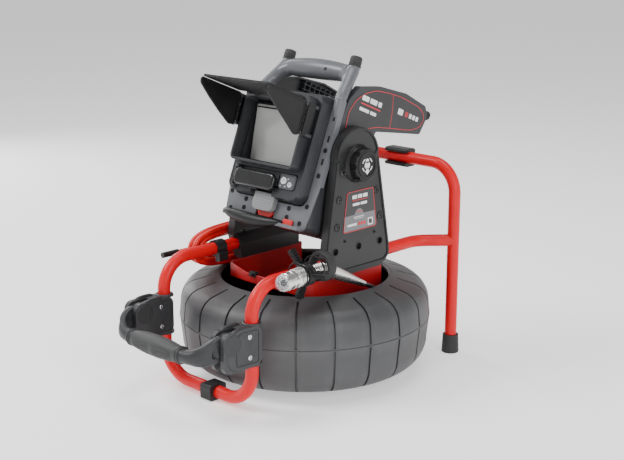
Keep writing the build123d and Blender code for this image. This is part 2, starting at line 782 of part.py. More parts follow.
with BuildPart() as system_cable_lead:
    with BuildSketch(Plane(origin=LEAD_START, z_dir=GLAND_WAY)):
        Circle(CORD_R)
    extrude(amount=LEAD_L + CORD_R)
    with Locations(at(LEAD_END_X - 20, 0, GLAND[2])):
        Box(40, 200, 40, mode=Mode.SUBTRACT)
system_cable_lead.part.label = "system_cable_lead"
export_step(system_cable_lead.part, "parts/system_cable_lead.step")

TAIL_Z = 197.0
PLUG_START = 108.0
PLUG_L = 44.0

with BuildPart() as system_cable_tail:
    with BuildSketch(Plane(origin=at(HANK_X, 76, TAIL_Z), z_dir=(0, 1, 0))):
        Circle(CORD_R)
    extrude(amount=PLUG_START - 76)
    add(system_cable_coil.part, mode=Mode.SUBTRACT)
system_cable_tail.part.label = "system_cable_tail"
export_step(system_cable_tail.part, "parts/system_cable_tail.step")

with BuildPart() as system_plug:
    with BuildSketch(Plane(origin=at(HANK_X, PLUG_START, TAIL_Z), z_dir=(0, 1, 0))):
        Circle(5.5)
    extrude(amount=14, taper=-8)
    with BuildSketch(Plane(origin=at(HANK_X, PLUG_START + 14, TAIL_Z), z_dir=(0, 1, 0))):
        Circle(9)
    extrude(amount=PLUG_L - 14)
    with BuildSketch(Plane(origin=at(HANK_X, PLUG_START + PLUG_L, TAIL_Z), z_dir=(0, -1, 0))):
        Circle(7.2)
    extrude(amount=8, mode=Mode.SUBTRACT)
system_plug.part.label = "system_plug"
export_step(system_plug.part, "parts/system_plug.step")

with BuildPart() as cable_fittings:
    with BuildSketch(Plane(origin=Vector(*GLAND) - GLAND_WAY * 6, z_dir=GLAND_WAY)):
        Circle(7)
    extrude(amount=6 + GLAND_L, taper=4)
    with Locations(at(-PAN_X + 20, 0, GLAND[2])):
        Box(40, 200, 40, mode=Mode.SUBTRACT)
    with BuildSketch(Plane.XZ.offset(-AXIS_Y - PLUG_START - 28)):
        with Locations((-RAIL_X, RAIL_Z)):
            Circle(TUBE_R + 3)
        with Locations((HANK_X, TAIL_Z)):
            Circle(12)
        with Locations(((HANK_X - RAIL_X) / 2, (TAIL_Z + RAIL_Z) / 2)):
            Rectangle(14, 12)
        with Locations((HANK_X, TAIL_Z)):
            Circle(9, mode=Mode.SUBTRACT)
    extrude(amount=12)
    add(rail_tubes.part, mode=Mode.SUBTRACT)
cable_fittings.part.label = "cable_fittings"
export_step(cable_fittings.part, "parts/cable_fittings.step")

# ---------------------------------------------------------------- front carrying handle
CLAMP_BACK = -196.0
CLAMP_FRONT = -266.0
CLAMP_LOW = 76.0
CLAMP_TOP = 134.0
CLAMP_HALF = 14.0
HINGE_Y = AXIS_Y - 250.0
HINGE_Z = 116.0
PIN_R = 4.0
EYE_R = 15.5
EYE_HALF = 6.0
CLAMP_SCREWS = [(-218.0, 121.0), (-218.0, 91.0)]


def clamp_half(low, high, head_x):
    """One half of a tube clamp, low and high from x=0, with its share of the hinge slot."""
    middle = (abs(low) + abs(high)) / 2
    with BuildPart() as half:
        with BuildSketch(side_plane(low)):
            with Locations(((AXIS_Y + (CLAMP_BACK + CLAMP_FRONT) / 2), (CLAMP_LOW + CLAMP_TOP) / 2)):
                RectangleRounded(CLAMP_BACK - CLAMP_FRONT, CLAMP_TOP - CLAMP_LOW, 12)
        extrude(amount=high - low)
        centre_x = RAIL_X if low + high > 0 else -RAIL_X
        with Locations((centre_x, FRONT_Y, 100)):
            Cylinder(TUBE_R, 200, mode=Mode.SUBTRACT)
        with Locations(at(centre_x, (CLAMP_FRONT - 232) / 2 - 10, 100)):
            Box(2 * (EYE_HALF + GAP), -CLAMP_FRONT - 232 + 20, 200, mode=Mode.SUBTRACT)
        with Locations(Location((centre_x, HINGE_Y, HINGE_Z), (0, 90, 0))):
            Cylinder(PIN_R, 60, mode=Mode.SUBTRACT)
        for back, z in CLAMP_SCREWS:
            with Locations(Location(at(centre_x, back, z), (0, 90, 0))):
                Cylinder(SCREW_R, 60, mode=Mode.SUBTRACT)
            with Locations(Location(at(head_x - SCREW_HEAD_H / 2, back, z), (0, 90, 0))):
                Cylinder(SCREW_HEAD_R, SCREW_HEAD_H, mode=Mode.SUBTRACT)
    return half.part


with BuildPart() as clamp_outer_halves:
    add(clamp_half(RAIL_X, RAIL_X + CLAMP_HALF, RAIL_X + CLAMP_HALF))
    add(clamp_half(-RAIL_X - CLAMP_HALF, -RAIL_X, -RAIL_X + CLAMP_HALF))
clamp_outer_halves.part.label = "clamp_outer_halves"
export_step(clamp_outer_halves.part, "parts/clamp_outer_halves.step")

with BuildPart() as clamp_inner_halves:
    add(clamp_half(RAIL_X - CLAMP_HALF, RAIL_X, RAIL_X + CLAMP_HALF))
    add(clamp_half(-RAIL_X, -RAIL_X + CLAMP_HALF, -RAIL_X + CLAMP_HALF))
clamp_inner_halves.part.label = "clamp_inner_halves"
export_step(clamp_inner_halves.part, "parts/clamp_inner_halves.step")

with BuildPart() as cap_screws:
    for side in (-1, 1):
        for back, z in ARM_SCREWS:
            add(cross_screw(side * (ARM_IN + 0.5), side * ARM_OUT, AXIS_Y + back, z))
        middle = side * RAIL_X
        for back, z in CLAMP_SCREWS:
            add(cross_screw(middle - CLAMP_HALF + 1, middle + CLAMP_HALF, AXIS_Y + back, z))
cap_screws.part.label = "cap_screws"
export_step(cap_screws.part, "parts/cap_screws.step")

with BuildPart() as handle_pins:
    for middle in (-RAIL_X, RAIL_X):
        with Locations(Location((middle, HINGE_Y, HINGE_Z), (0, 90, 0))):
            Cylinder(PIN_R, 2 * CLAMP_HALF - 1)
handle_pins.part.label = "handle_pins"
export_step(handle_pins.part, "parts/handle_pins.step")

GRIP_Y = -293.0
GRIP_Z = 100.0
GRIP_L = 100.0
BAR_R = 8.5
WEB_FRONT = -271.0

with BuildPart() as handle_bow:
    add(
        rod(
            [
                at(-RAIL_X, WEB_FRONT, 110),
                at(-RAIL_X + 2, -289, 104),
                at(-62, GRIP_Y, GRIP_Z),
                at(62, GRIP_Y, GRIP_Z),
                at(RAIL_X - 2, -289, 104),
                at(RAIL_X, WEB_FRONT, 110),
            ],
            [9, 16, 16, 9],
            BAR_R,
        )
    )
    for middle in (-RAIL_X, RAIL_X):
        with Locations(Location((middle, HINGE_Y, HINGE_Z), (0, 90, 0))):
            Cylinder(EYE_R, 2 * EYE_HALF)
        with Locations(at(middle, (WEB_FRONT - 250) / 2, 111)):
            Box(2 * EYE_HALF, -WEB_FRONT - 250 + 2, 22)
        with Locations(Location((middle, HINGE_Y, HINGE_Z), (0, 90, 0))):
            Cylinder(PIN_R + FIT, 40, mode=Mode.SUBTRACT)
handle_bow.part.label = "handle_bow"
export_step(handle_bow.part, "parts/handle_bow.step")

with BuildPart() as handle_grip:
    with BuildSketch(Plane.XY.offset(GRIP_Z)):
        with BuildLine():
            middle_y = AXIS_Y + GRIP_Y
            ThreePointArc(
                (-GRIP_L / 2, middle_y - 10.4),
                (0, middle_y - 15.4),
                (GRIP_L / 2, middle_y - 10.4),
            )
            Polyline(
                (GRIP_L / 2, middle_y - 10.4),
                (GRIP_L / 2, middle_y - BAR_R),
                (-GRIP_L / 2, middle_y - BAR_R),
                (-GRIP_L / 2, middle_y - 10.4),
            )
        make_face()
    revolve(axis=Axis(at(0, GRIP_Y, GRIP_Z), WORLD_X))
handle_grip.part.label = "handle_grip"
export_step(handle_grip.part, "parts/handle_grip.step")

# ---------------------------------------------------------------- monitor: shapes in its lean


def slab(x, up, out, corner=0.0):
    """A block given by its ranges across, up and out of the flange plane."""
    with BuildPart() as block:
        with BuildSketch(MONITOR.offset(out[0])):
            with Locations(((x[0] + x[1]) / 2, (up[0] + up[1]) / 2)):
                if corner > 0:
                    RectangleRounded(x[1] - x[0], up[1] - up[0], corner)
                else:
                    Rectangle(x[1] - x[0], up[1] - up[0])
        extrude(amount=out[1] - out[0])
    return block.part


def peg(start, end, radius):
    """A round pin between two points of the monitor's lean."""
    low = Vector(*on_monitor(*start))
    way = Vector(*on_monitor(*end)) - low
    with BuildPart() as pin:
        with BuildSketch(Plane(origin=low, z_dir=way)):
            Circle(radius)
        extrude(amount=way.length)
    return pin.part


FLANGE_X = 91.5
FLANGE_LOW = -119.0
FLANGE_FOOT_X = 83.0
SKIRT_BACK = 42.0  # the rim of the flange wraps back this far
FLANGE_BACK = 48.0
FLANGE_FRONT = 53.0
GRIP_UP = 127.0
GRIP_OUT = 23.0
POST_X = 70.0

with BuildPart() as carry_frame:
    with BuildSketch(MONITOR.offset(FLANGE_BACK)):
        with BuildLine():
            Polyline(
                (-FLANGE_X, 85),
                (-FLANGE_X, -50),
                (-FLANGE_FOOT_X, FLANGE_LOW),
                (FLANGE_FOOT_X, FLANGE_LOW),
                (FLANGE_X, -50),
                (FLANGE_X, 85),
                close=True,
            )
        make_face()
        fillet(vertices().group_by(Axis.Y)[0], 10)
        fillet(vertices().group_by(Axis.Y)[-1], 6)
        with Locations((0, 18)):
            RectangleRounded(155, 204, 14, mode=Mode.SUBTRACT)
        for side in (-1, 1):
            with Locations((side * 86, 68), (side * 86, 3), (side * 86, -35), (side * 80, -82)):
                Circle(2.2, mode=Mode.SUBTRACT)
            with Locations((side * 86, 52), (side * 86, 20), (side * 86, -14)):
                SlotOverall(10, 4, rotation=90, mode=Mode.SUBTRACT)
            with Locations((side * 46, -90), (side * 46, -103), (side * 74, -108)):
                Circle(2.2, mode=Mode.SUBTRACT)
        with Locations((0, -108)):
            Rectangle(38, 28, mode=Mode.SUBTRACT)
    extrude(amount=FLANGE_FRONT - FLANGE_BACK)
    for side in (-1, 1):
        edge = (min(side * 88.5, side * FLANGE_X), max(side * 88.5, side * FLANGE_X))
        add(slab(edge, (-50, 79), (SKIRT_BACK, FLANGE_BACK)))
        lip = (min(side * 22, side * 80), max(side * 22, side * 80))
        add(slab(lip, (FLANGE_LOW, FLANGE_LOW + 5), (FLANGE_FRONT, 62), 2))
    add(
        rod(
            [
                on_monitor(-84, 76, FLANGE_BACK + 1),
                on_monitor(-POST_X, GRIP_UP, GRIP_OUT),
                on_monitor(POST_X, GRIP_UP, GRIP_OUT),
                on_monitor(84, 76, FLANGE_BACK + 1),
            ],
            20,
            BAR_R,
        )
    )
    with BuildSketch(Plane(origin=on_monitor(-44, GRIP_UP, GRIP_OUT), z_dir=WORLD_X)):
        Circle(13)
    extrude(amount=88)
    fillet(edges().filter_by(GeomType.CIRCLE).filter_by(lambda e: abs(e.radius - 13) < 0.01), 4)
carry_frame.part.label = "carry_frame"
export_step(carry_frame.part, "parts/carry_frame.step")

OPEN_X = 62.5
OPEN_LOW = -34.0
OPEN_TOP = 60.0
SHELL_FRONT = 72.0
RIM_FRONT = 91.0
TOP_HINGE = (64.0, 102.0)
SIDE_HINGE_X = 70.5
SIDE_HINGE_OUT = {-1: 94.0, 1: 97.5}
KNUCKLE_R = 3.0
DOOR_HINGE = (-57.0, 77.5)
DOOR_END = 29.0
LATCH_X = 21.5
DOOR_LOW = -74.0
DOOR_TOP = -46.0
VISOR_PIN_R = 1.25

with BuildPart() as front_shell:
    with BuildSketch(MONITOR.offset(FLANGE_BACK)):
        RectangleRounded(154, 166, 16)
    extrude(amount=SHELL_FRONT - FLANGE_BACK, taper=9)
    add(slab((-66, 66), (-38, 74), (SHELL_FRONT - 2, RIM_FRONT), 9))
    add(slab((-OPEN_X, OPEN_X), (OPEN_LOW, OPEN_TOP), (FLANGE_BACK, 95), 4), mode=Mode.SUBTRACT)
    add(slab((-66, 66), (-66, -42), (62, 80), 4), mode=Mode.SUBTRACT)
    add(slab((-LATCH_X - 0.6, LATCH_X + 0.6), (-90, -68), (FLANGE_FRONT, 80)), mode=Mode.SUBTRACT)
    for side in (-1, 1):
        bracket = (side * 49 - 3, side * 49 + 3)
        add(slab(bracket, (65.5, 70), (80, TOP_HINGE[1] + 1)))
        add(slab(bracket, (TOP_HINGE[0], 70), (TOP_HINGE[1] - 2, TOP_HINGE[1] + 2)))
        add(peg((bracket[0], *TOP_HINGE), (bracket[1], *TOP_HINGE), KNUCKLE_R))
        out = SIDE_HINGE_OUT[side]
        hinge_x = side * SIDE_HINGE_X
        for low, top in [(13.5, 18), (56, 60.5)]:
            root = (min(side * 65, side * 73.5), max(side * 65, side * 73.5))
            add(slab(root, (low, top), (76, 90)))
            add(slab((hinge_x - KNUCKLE_R, hinge_x + KNUCKLE_R), (low, top), (80, out)))
            add(peg((hinge_x, low, out), (hinge_x, top, out), KNUCKLE_R))
            add(peg((hinge_x, low, out), (hinge_x, top, out), VISOR_PIN_R), mode=Mode.SUBTRACT)
        add(peg((bracket[0], *TOP_HINGE), (bracket[1], *TOP_HINGE), VISOR_PIN_R), mode=Mode.SUBTRACT)
    for low, top in [(DOOR_TOP + GAP, DOOR_TOP + 4), (DOOR_LOW - 3, DOOR_LOW - GAP)]:
        ear = (DOOR_HINGE[0] - KNUCKLE_R, DOOR_HINGE[0] + KNUCKLE_R)
        add(slab(ear, (low, top), (64, DOOR_HINGE[1])))
        add(peg((DOOR_HINGE[0], low, DOOR_HINGE[1]), (DOOR_HINGE[0], top, DOOR_HINGE[1]), KNUCKLE_R))
    add(
        peg(
            (DOOR_HINGE[0], DOOR_LOW - 4, DOOR_HINGE[1]),
            (DOOR_HINGE[0], DOOR_TOP + 5, DOOR_HINGE[1]),
            VISOR_PIN_R,
        ),
        mode=Mode.SUBTRACT,
    )
    add(carry_frame.part, mode=Mode.SUBTRACT)
front_shell.part.label = "front_shell"
export_step(front_shell.part, "parts/front_shell.step")

with BuildPart() as hinge_pins:
    for side in (-1, 1):
        add(peg((side * 52, *TOP_HINGE), (side * 36, *TOP_HINGE), VISOR_PIN_R))
        out = SIDE_HINGE_OUT[side]
        add(peg((side * SIDE_HINGE_X, 13.5, out), (side * SIDE_HINGE_X, 60.5, out), VISOR_PIN_R))
    door_pin = [(DOOR_HINGE[0], up, DOOR_HINGE[1]) for up in (DOOR_LOW - 3, DOOR_TOP + 4)]
    add(peg(*door_pin, VISOR_PIN_R))
hinge_pins.part.label = "hinge_pins"
export_step(hinge_pins.part, "parts/hinge_pins.step")

SCREEN_TURN = 10.2  # the display stands this much nearer upright than the shell
SCREEN_UP = 12.5
SCREEN_OUT = 61.5
SCREEN_TURN_R = radians(SCREEN_TURN)
SCREEN = Plane(
    origin=on_monitor(0, SCREEN_UP, SCREEN_OUT),
    x_dir=WORLD_X,
    z_dir=MONITOR.z_dir * cos(SCREEN_TURN_R) - MONITOR.y_dir * sin(SCREEN_TURN_R),
)

with BuildPart() as display_module:
    with BuildSketch(SCREEN.offset(-8)):
        RectangleRounded(124, 91, 3)
    extrude(amount=8)
display_module.part.label = "display_module"
export_step(display_module.part, "parts/display_module.step")

with BuildPart() as display_glass:
    with BuildSketch(SCREEN):
        RectangleRounded(116, 84, 2)
    extrude(amount=1.5)
display_glass.part.label = "display_glass"
export_step(display_glass.part, "parts/display_glass.step")

KEY_FACE = 74.0
KEY_FLOOR = 69.0
KEY_TOP = 75.6
KEY_LIFT = 2.0  # space under each key
POWER_KEY = (42.0, -53.5, 5.0)
MENU_KEY = (55.5, -58.0, 3.6)

with BuildPart() as control_panel:
    add(slab((-65.5, 65.5), (-65.5, -42.5), (62, 66.5), 3))
    add(slab((33, 64), (-65.3, -43.5), (66, KEY_FACE), 4))
    add(slab((-50, 26), (-64, -47), (66, 70), 3))
    for x, up, radius in (POWER_KEY, MENU_KEY):
        add(peg((x, up, KEY_FLOOR), (x, up, 80), radius + GAP), mode=Mode.SUBTRACT)
    add(slab((-60.5, -53.5), (-80, -40), (60, 76)), mode=Mode.SUBTRACT)
control_panel.part.label = "control_panel"
export_step(control_panel.part, "parts/control_panel.step")

with BuildPart() as power_key:
    add(peg((*POWER_KEY[:2], KEY_FLOOR + KEY_LIFT), (*POWER_KEY[:2], KEY_TOP), POWER_KEY[2]))
power_key.part.label = "power_key"
export_step(power_key.part, "parts/power_key.step")

with BuildPart() as menu_key:
    add(peg((*MENU_KEY[:2], KEY_FLOOR + KEY_LIFT), (*MENU_KEY[:2], KEY_TOP), MENU_KEY[2]))
menu_key.part.label = "menu_key"
export_step(menu_key.part, "parts/menu_key.step")

with BuildPart() as port_door:
    add(slab((DOOR_HINGE[0] + 3, DOOR_END), (DOOR_LOW, DOOR_TOP), (75, 82), 5))
    add(slab((DOOR_HINGE[0], DOOR_HINGE[0] + 8), (DOOR_LOW, DOOR_TOP), (75.5, 79.5)))
    door_axis = [(DOOR_HINGE[0], up, DOOR_HINGE[1]) for up in (DOOR_LOW, DOOR_TOP)]
    add(peg(*door_axis, KNUCKLE_R - 0.5))
    add(peg(*door_axis, VISOR_PIN_R + FIT), mode=Mode.SUBTRACT)
port_door.part.label = "port_door"
export_step(port_door.part, "parts/port_door.step")

# ---------------------------------------------------------------- visor flaps
VISOR_T = 2.0
VISOR_OUT = 181.0

with BuildPart() as visor_top:
    add(slab((-67, 67), (62.8, 65.2), (TOP_HINGE[1] + 3, VISOR_OUT)))
    add(slab((-45.7, 45.7), (62.8, 65.2), (TOP_HINGE[1], TOP_HINGE[1] + 4)))
    add(peg((-45.7, *TOP_HINGE), (45.7, *TOP_HINGE), KNUCKLE_R - 0.5))
    add(peg((-46, *TOP_HINGE), (46, *TOP_HINGE), VISOR_PIN_R + FIT), mode=Mode.SUBTRACT)
    for side in (-1, 1):
        add(slab((side * 49 - 3.4, side * 49 + 3.4), (60, 68), (TOP_HINGE[1], 112)), mode=Mode.SUBTRACT)
    for rib in range(9):
        start = 116 + 7 * rib
        add(slab((-64, 64), (62.0, 62.8), (start, start + 1.2)))
visor_top.part.label = "visor_top"
export_step(visor_top.part, "parts/visor_top.step")


def visor_side(side):
    """A triangular side flap on its upright hinge."""
    out = SIDE_HINGE_OUT[side]
    x = side * SIDE_HINGE_X
    axis = [(x, 18.3, out), (x, 55.7, out)]
    start = out + KNUCKLE_R + GAP
    with BuildPart() as flap:
        with BuildSketch(monitor_side(x - VISOR_T / 2)):
            with BuildLine():
                Polyline(
                    (-start, 60.6),
                    (-start, 13),
                    (-start - 8, 13),
                    (-180, 54),
                    (-180, 60.6),
                    close=True,
                )
            make_face()
            fillet(vertices().group_by(Axis.X)[0], 2.5)
        extrude(amount=VISOR_T)
        add(slab((x - 1, x + 1), (18.3, 55.7), (out, start + 1)))
        add(peg(*axis, KNUCKLE_R - 0.5))
        add(peg(*axis, VISOR_PIN_R + FIT), mode=Mode.SUBTRACT)
    return flap


visor_left = visor_side(-1)
visor_left.part.label = "visor_left"
export_step(visor_left.part, "parts/visor_left.step")

visor_right = visor_side(1)
visor_right.part.label = "visor_right"
export_step(visor_right.part, "parts/visor_right.step")

# ---------------------------------------------------------------- release latch
with BuildPart() as latch_tab:
    add(slab((-LATCH_X, LATCH_X), (-102, -74.5), (FLANGE_FRONT + GAP, 64), 4))
    for ridge in range(3):
        up = -98 + 6 * ridge
        add(slab((-18, 18), (up, up + 2.2), (63, 65.2)))
latch_tab.part.label = "latch_tab"
export_step(latch_tab.part, "parts/latch_tab.step")

with BuildPart() as latch_tongue:
    add(slab((-17, 17), (-113, -100), (44, FLANGE_FRONT + GAP), 4))
latch_tongue.part.label = "latch_tongue"
export_step(latch_tongue.part, "parts/latch_tongue.step")

# ---------------------------------------------------------------- rear housing, hood and battery
HOUSE_X = 86.0
HOUSE_LOW = -120.0
HOUSE_TOP = 82.0
HOUSE_BACK = -30.0
HOUSE_WALL = 3.0

with BuildPart() as rear_housing:
    add(slab((-HOUSE_X, HOUSE_X), (HOUSE_LOW, HOUSE_TOP), (HOUSE_BACK, FLANGE_BACK), 14))
    add(
        slab(
            (-HOUSE_X + HOUSE_WALL, HOUSE_X - HOUSE_WALL),
            (HOUSE_LOW + HOUSE_WALL, HOUSE_TOP - HOUSE_WALL),
            (HOUSE_BACK + HOUSE_WALL, FLANGE_BACK + 1),
            11,
        ),
        mode=Mode.SUBTRACT,
    )
    add(carry_frame.part, mode=Mode.SUBTRACT)
rear_housing.part.label = "rear_housing"
export_step(rear_housing.part, "parts/rear_housing.step")

with BuildPart() as pivot_shafts:
    for side in (-1, 1):
        add(peg((side * HOUSE_X, 0, 0), (side * ARM_OUT, 0, 0), SHAFT_R))
        add(peg((side * ARM_OUT, 0, 0), (side * (ARM_OUT + 9), 0, 0), 4))
pivot_shafts.part.label = "pivot_shafts"
export_step(pivot_shafts.part, "parts/pivot_shafts.step")

HOOD_IN = 80.0
HOOD_OUT = 91.2
HOOD_SKIN = 2.7
HOOD_OUTLINE = [
    (41, 66),
    (38, 84),
    (22, 108.7),
    (-21, 121.7),
    (-82, 128.8),
    (-135, 123.8),
    (-146, 110),
    (-138, 79),
    (-37, 56),
    (-30, 20),
    (41, 20),
]


def hood_outline():
    """The cheek's outline, drawn backwards from the flange and up."""
    with BuildSketch() as outline:
        with BuildLine():
            Polyline(*[(-out, up) for out, up in HOOD_OUTLINE], close=True)
        make_face()
        fillet(vertices(), 5)
    return outline.sketch


with BuildPart() as hood_cheeks:
    for side in (-1, 1):
        with BuildSketch(monitor_side(side * HOOD_IN)):
            add(hood_outline())
        extrude(amount=side * (HOOD_OUT - HOOD_IN))
        with BuildSketch(monitor_side(side * HOOD_IN)):
            add(hood_outline())
            offset(amount=-HOOD_SKIN, mode=Mode.REPLACE)
        extrude(amount=side * (HOOD_OUT - HOOD_SKIN - HOOD_IN), mode=Mode.SUBTRACT)
    housing = slab((-HOUSE_X, HOUSE_X), (HOUSE_LOW, HOUSE_TOP), (HOUSE_BACK, FLANGE_BACK))
    add(housing, mode=Mode.SUBTRACT)
    add(carry_frame.part, mode=Mode.SUBTRACT)
hood_cheeks.part.label = "hood_cheeks"
export_step(hood_cheeks.part, "parts/hood_cheeks.step")

PACK_X = 39.0  # the battery's base, which runs in the cradle's rails
PACK_BODY_X = 35.0
PACK_LOW = -52.0
PACK_TOP = 56.0
PACK_BACK = -86.0
BAY_WALL = 3.0
BAY_TOP = 44.0
RAIL_BACK = -60.0  # rear faces of the cradle's rails
PACK_GAP = 0.5

with BuildPart() as battery_bay:
    outer_x = PACK_X + PACK_GAP + BAY_WALL
    add(slab((-outer_x, outer_x), (PACK_LOW - PACK_GAP - BAY_WALL, BAY_TOP), (RAIL_BACK, HOUSE_BACK)))
    add(
        slab(
            (-PACK_X - PACK_GAP, PACK_X + PACK_GAP),
            (PACK_LOW - PACK_GAP, BAY_TOP + 1),
            (RAIL_BACK + BAY_WALL, HOUSE_BACK - BAY_WALL),
        ),
        mode=Mode.SUBTRACT,
    )
    add(
        slab(
            (-PACK_BODY_X - PACK_GAP, PACK_BODY_X + PACK_GAP),
            (PACK_LOW - PACK_GAP, BAY_TOP + 1),
            (RAIL_BACK - 1, RAIL_BACK + BAY_WALL + 1),
        ),
        mode=Mode.SUBTRACT,
    )
battery_bay.part.label = "battery_bay"
export_step(battery_bay.part, "parts/battery_bay.step")

with BuildPart() as battery_pack:
    base_out = (RAIL_BACK + BAY_WALL + PACK_GAP, HOUSE_BACK - BAY_WALL - PACK_GAP)
    add(slab((-PACK_X, PACK_X), (PACK_LOW, PACK_TOP), base_out))
    add(slab((-PACK_BODY_X, PACK_BODY_X), (PACK_LOW, PACK_TOP), (PACK_BACK, base_out[0] + 1), 8))
battery_pack.part.label = "battery_pack"
export_step(battery_pack.part, "parts/battery_pack.step")

with BuildPart() as bumpers:
    for side in (-1, 1):
        add(peg((side * 69, 122, 22), (side * 69, 153, 22), 8.5))
        add(peg((side * 85.6, 112, -140), (side * 85.6, 112, -152), 7))
    add(carry_frame.part, mode=Mode.SUBTRACT)
    add(hood_cheeks.part, mode=Mode.SUBTRACT)
bumpers.part.label = "bumpers"
export_step(bumpers.part, "parts/bumpers.step")

# ---------------------------------------------------------------- tilt knobs
KNOB_R = 24.5
KNOB_OUT = 124.0
KNOB_FLUTES = 8
KNOB_GAP = 0.6  # between the knob and the arm


def tilt_knob(side):
    """A fluted hand knob on the threaded end of a pivot shaft."""
    with BuildPart() as knob:
        with BuildSketch(side_plane(side * (ARM_OUT + KNOB_GAP))):
            with Locations((PIVOT_Y, PIVOT_Z)):
                Circle(KNOB_R)
        extrude(amount=side * (KNOB_OUT - ARM_OUT - KNOB_GAP))
        rim = knob.faces().sort_by(Axis.X)[-1 if side > 0 else 0]
        fillet(rim.edges(), 2.5)
        with Locations(Location((side * KNOB_OUT, PIVOT_Y, PIVOT_Z), (0, 90, 0))):
            with PolarLocations(KNOB_R + 4, KNOB_FLUTES):
                Cylinder(6, 24, mode=Mode.SUBTRACT)
        with BuildSketch(side_plane(side * ARM_OUT)):
            with Locations((PIVOT_Y, PIVOT_Z)):
                Circle(4 + FIT)
        extrude(amount=side * 10, mode=Mode.SUBTRACT)
    return knob


tilt_knob_left = tilt_knob(-1)
tilt_knob_left.part.label = "tilt_knob_left"
export_step(tilt_knob_left.part, "parts/tilt_knob_left.step")

tilt_knob_right = tilt_knob(1)
tilt_knob_right.part.label = "tilt_knob_right"
export_step(tilt_knob_right.part, "parts/tilt_knob_right.step")
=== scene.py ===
"""Pipe inspection camera: looks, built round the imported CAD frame."""
from math import copysign, cos, pi, radians, sin

import bmesh
import bpy
from mathutils import Matrix, Vector


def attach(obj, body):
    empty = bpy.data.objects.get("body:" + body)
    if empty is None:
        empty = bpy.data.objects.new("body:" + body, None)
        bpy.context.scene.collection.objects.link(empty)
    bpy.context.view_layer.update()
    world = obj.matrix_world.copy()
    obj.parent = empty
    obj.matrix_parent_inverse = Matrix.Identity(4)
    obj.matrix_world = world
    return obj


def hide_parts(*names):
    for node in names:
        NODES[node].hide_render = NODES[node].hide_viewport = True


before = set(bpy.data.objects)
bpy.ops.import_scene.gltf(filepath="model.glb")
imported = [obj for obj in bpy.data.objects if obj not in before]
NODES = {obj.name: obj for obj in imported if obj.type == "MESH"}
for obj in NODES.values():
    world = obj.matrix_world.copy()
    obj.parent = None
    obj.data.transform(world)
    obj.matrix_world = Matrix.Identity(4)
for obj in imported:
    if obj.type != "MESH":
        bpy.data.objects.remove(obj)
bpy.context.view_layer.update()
MM = 0.001
AXIS_Y = 49.7  # the reel's axis behind the origin, mm
TILT = radians(22)
UP = Vector((0, sin(TILT), cos(TILT)))
OUT = Vector((0, -cos(TILT), sin(TILT)))
PIVOT = Vector((0, AXIS_Y + 4, 332)) * MM


def at(x, back, z):
    """A point in metres from millimetres, its depth counted from the reel's axis."""
    return Vector((x, AXIS_Y + back, z)) * MM


def mon(x, up, out):
    """A point in metres from millimetres across, up and out of the monitor's flange."""
    return PIVOT + (Vector((x, 0, 0)) + UP * up + OUT * out) * MM


def basis(x_dir, y_dir, origin=(0, 0, 0)):
    """A matrix whose columns are two directions, their cross product and an origin."""
    x_dir, y_dir = Vector(x_dir).normalized(), Vector(y_dir).normalized()
    m = Matrix((x_dir, y_dir, x_dir.cross(y_dir))).transposed().to_4x4()
    m.translation = Vector(origin)
    return m


SIDES = ((-1, "left"), (1, "right"))


def outward(x, back, z, way=1):
    """A frame at a point, its third axis pointing to the right, or to the left where way is -1."""
    return basis((0, way, 0), (0, 0, 1), at(x, back, z))


REEL = basis((1, 0, 0), (0, 1, 0), at(0, 0, 0))  # across, back and up from the reel's axis

# ------------------------------------------------------------------ camera and light
AZIMUTH, ELEVATION = radians(44.33), radians(14.36)
DISTANCE = 1.8437
TARGET = at(8.15, 7.97, 213.4)
toward = Vector((
    sin(AZIMUTH) * cos(ELEVATION),
    -cos(AZIMUTH) * cos(ELEVATION),
    sin(ELEVATION),
))
camera = bpy.data.objects.new("camera", bpy.data.cameras.new("camera"))
bpy.context.scene.collection.objects.link(camera)
camera.data.lens = 68.96
camera.data.sensor_width = 36
camera.location = TARGET + toward * DISTANCE
camera.rotation_euler = (-toward).to_track_quat("-Z", "Y").to_euler()
bpy.context.scene.camera = camera


def area_light(name, place, size, power, colour=(1, 1, 1)):
    lamp = bpy.data.lights.new(name, "AREA")
    lamp.shape = "RECTANGLE"
    lamp.size, lamp.size_y = size
    lamp.energy = power
    lamp.color = colour
    o = bpy.data.objects.new(name, lamp)
    bpy.context.scene.collection.objects.link(o)
    o.location = place
    o.rotation_euler = (Vector((0, 0, 0.2)) - Vector(place)).to_track_quat("-Z", "Y").to_euler()
    return o


area_light("key", (-1.3, -1.5, 2.2), (1.1, 0.9), 60)
area_light("right_strip", (2.2, -0.5, 1.2), (0.35, 1.6), 26)
area_light("left_strip", (-1.9, 0.4, 1.0), (0.4, 1.6), 16)
area_light("top", (0.1, 0.2, 2.6), (1.6, 1.6), 40)
world = bpy.data.worlds.new("studio")
bpy.context.scene.world = world
world.use_nodes = True
sky = world.node_tree
sky.nodes["Background"].inputs["Color"].default_value = (1, 1, 1, 1)
way = sky.nodes.new("ShaderNodeTexCoord")
height = sky.nodes.new("ShaderNodeSeparateXYZ")
fade = sky.nodes.new("ShaderNodeMapRange")
fade.interpolation_type = "SMOOTHSTEP"
fade.inputs["From Min"].default_value = 0.02
fade.inputs["From Max"].default_value = 0.55
fade.inputs["To Min"].default_value = 1.35
fade.inputs["To Max"].default_value = 0.24
sky.links.new(way.outputs["Generated"], height.inputs["Vector"])
sky.links.new(height.outputs["Z"], fade.inputs["Value"])
sky.links.new(fade.outputs["Result"], sky.nodes["Background"].inputs["Strength"])

# ------------------------------------------------------------------ materials


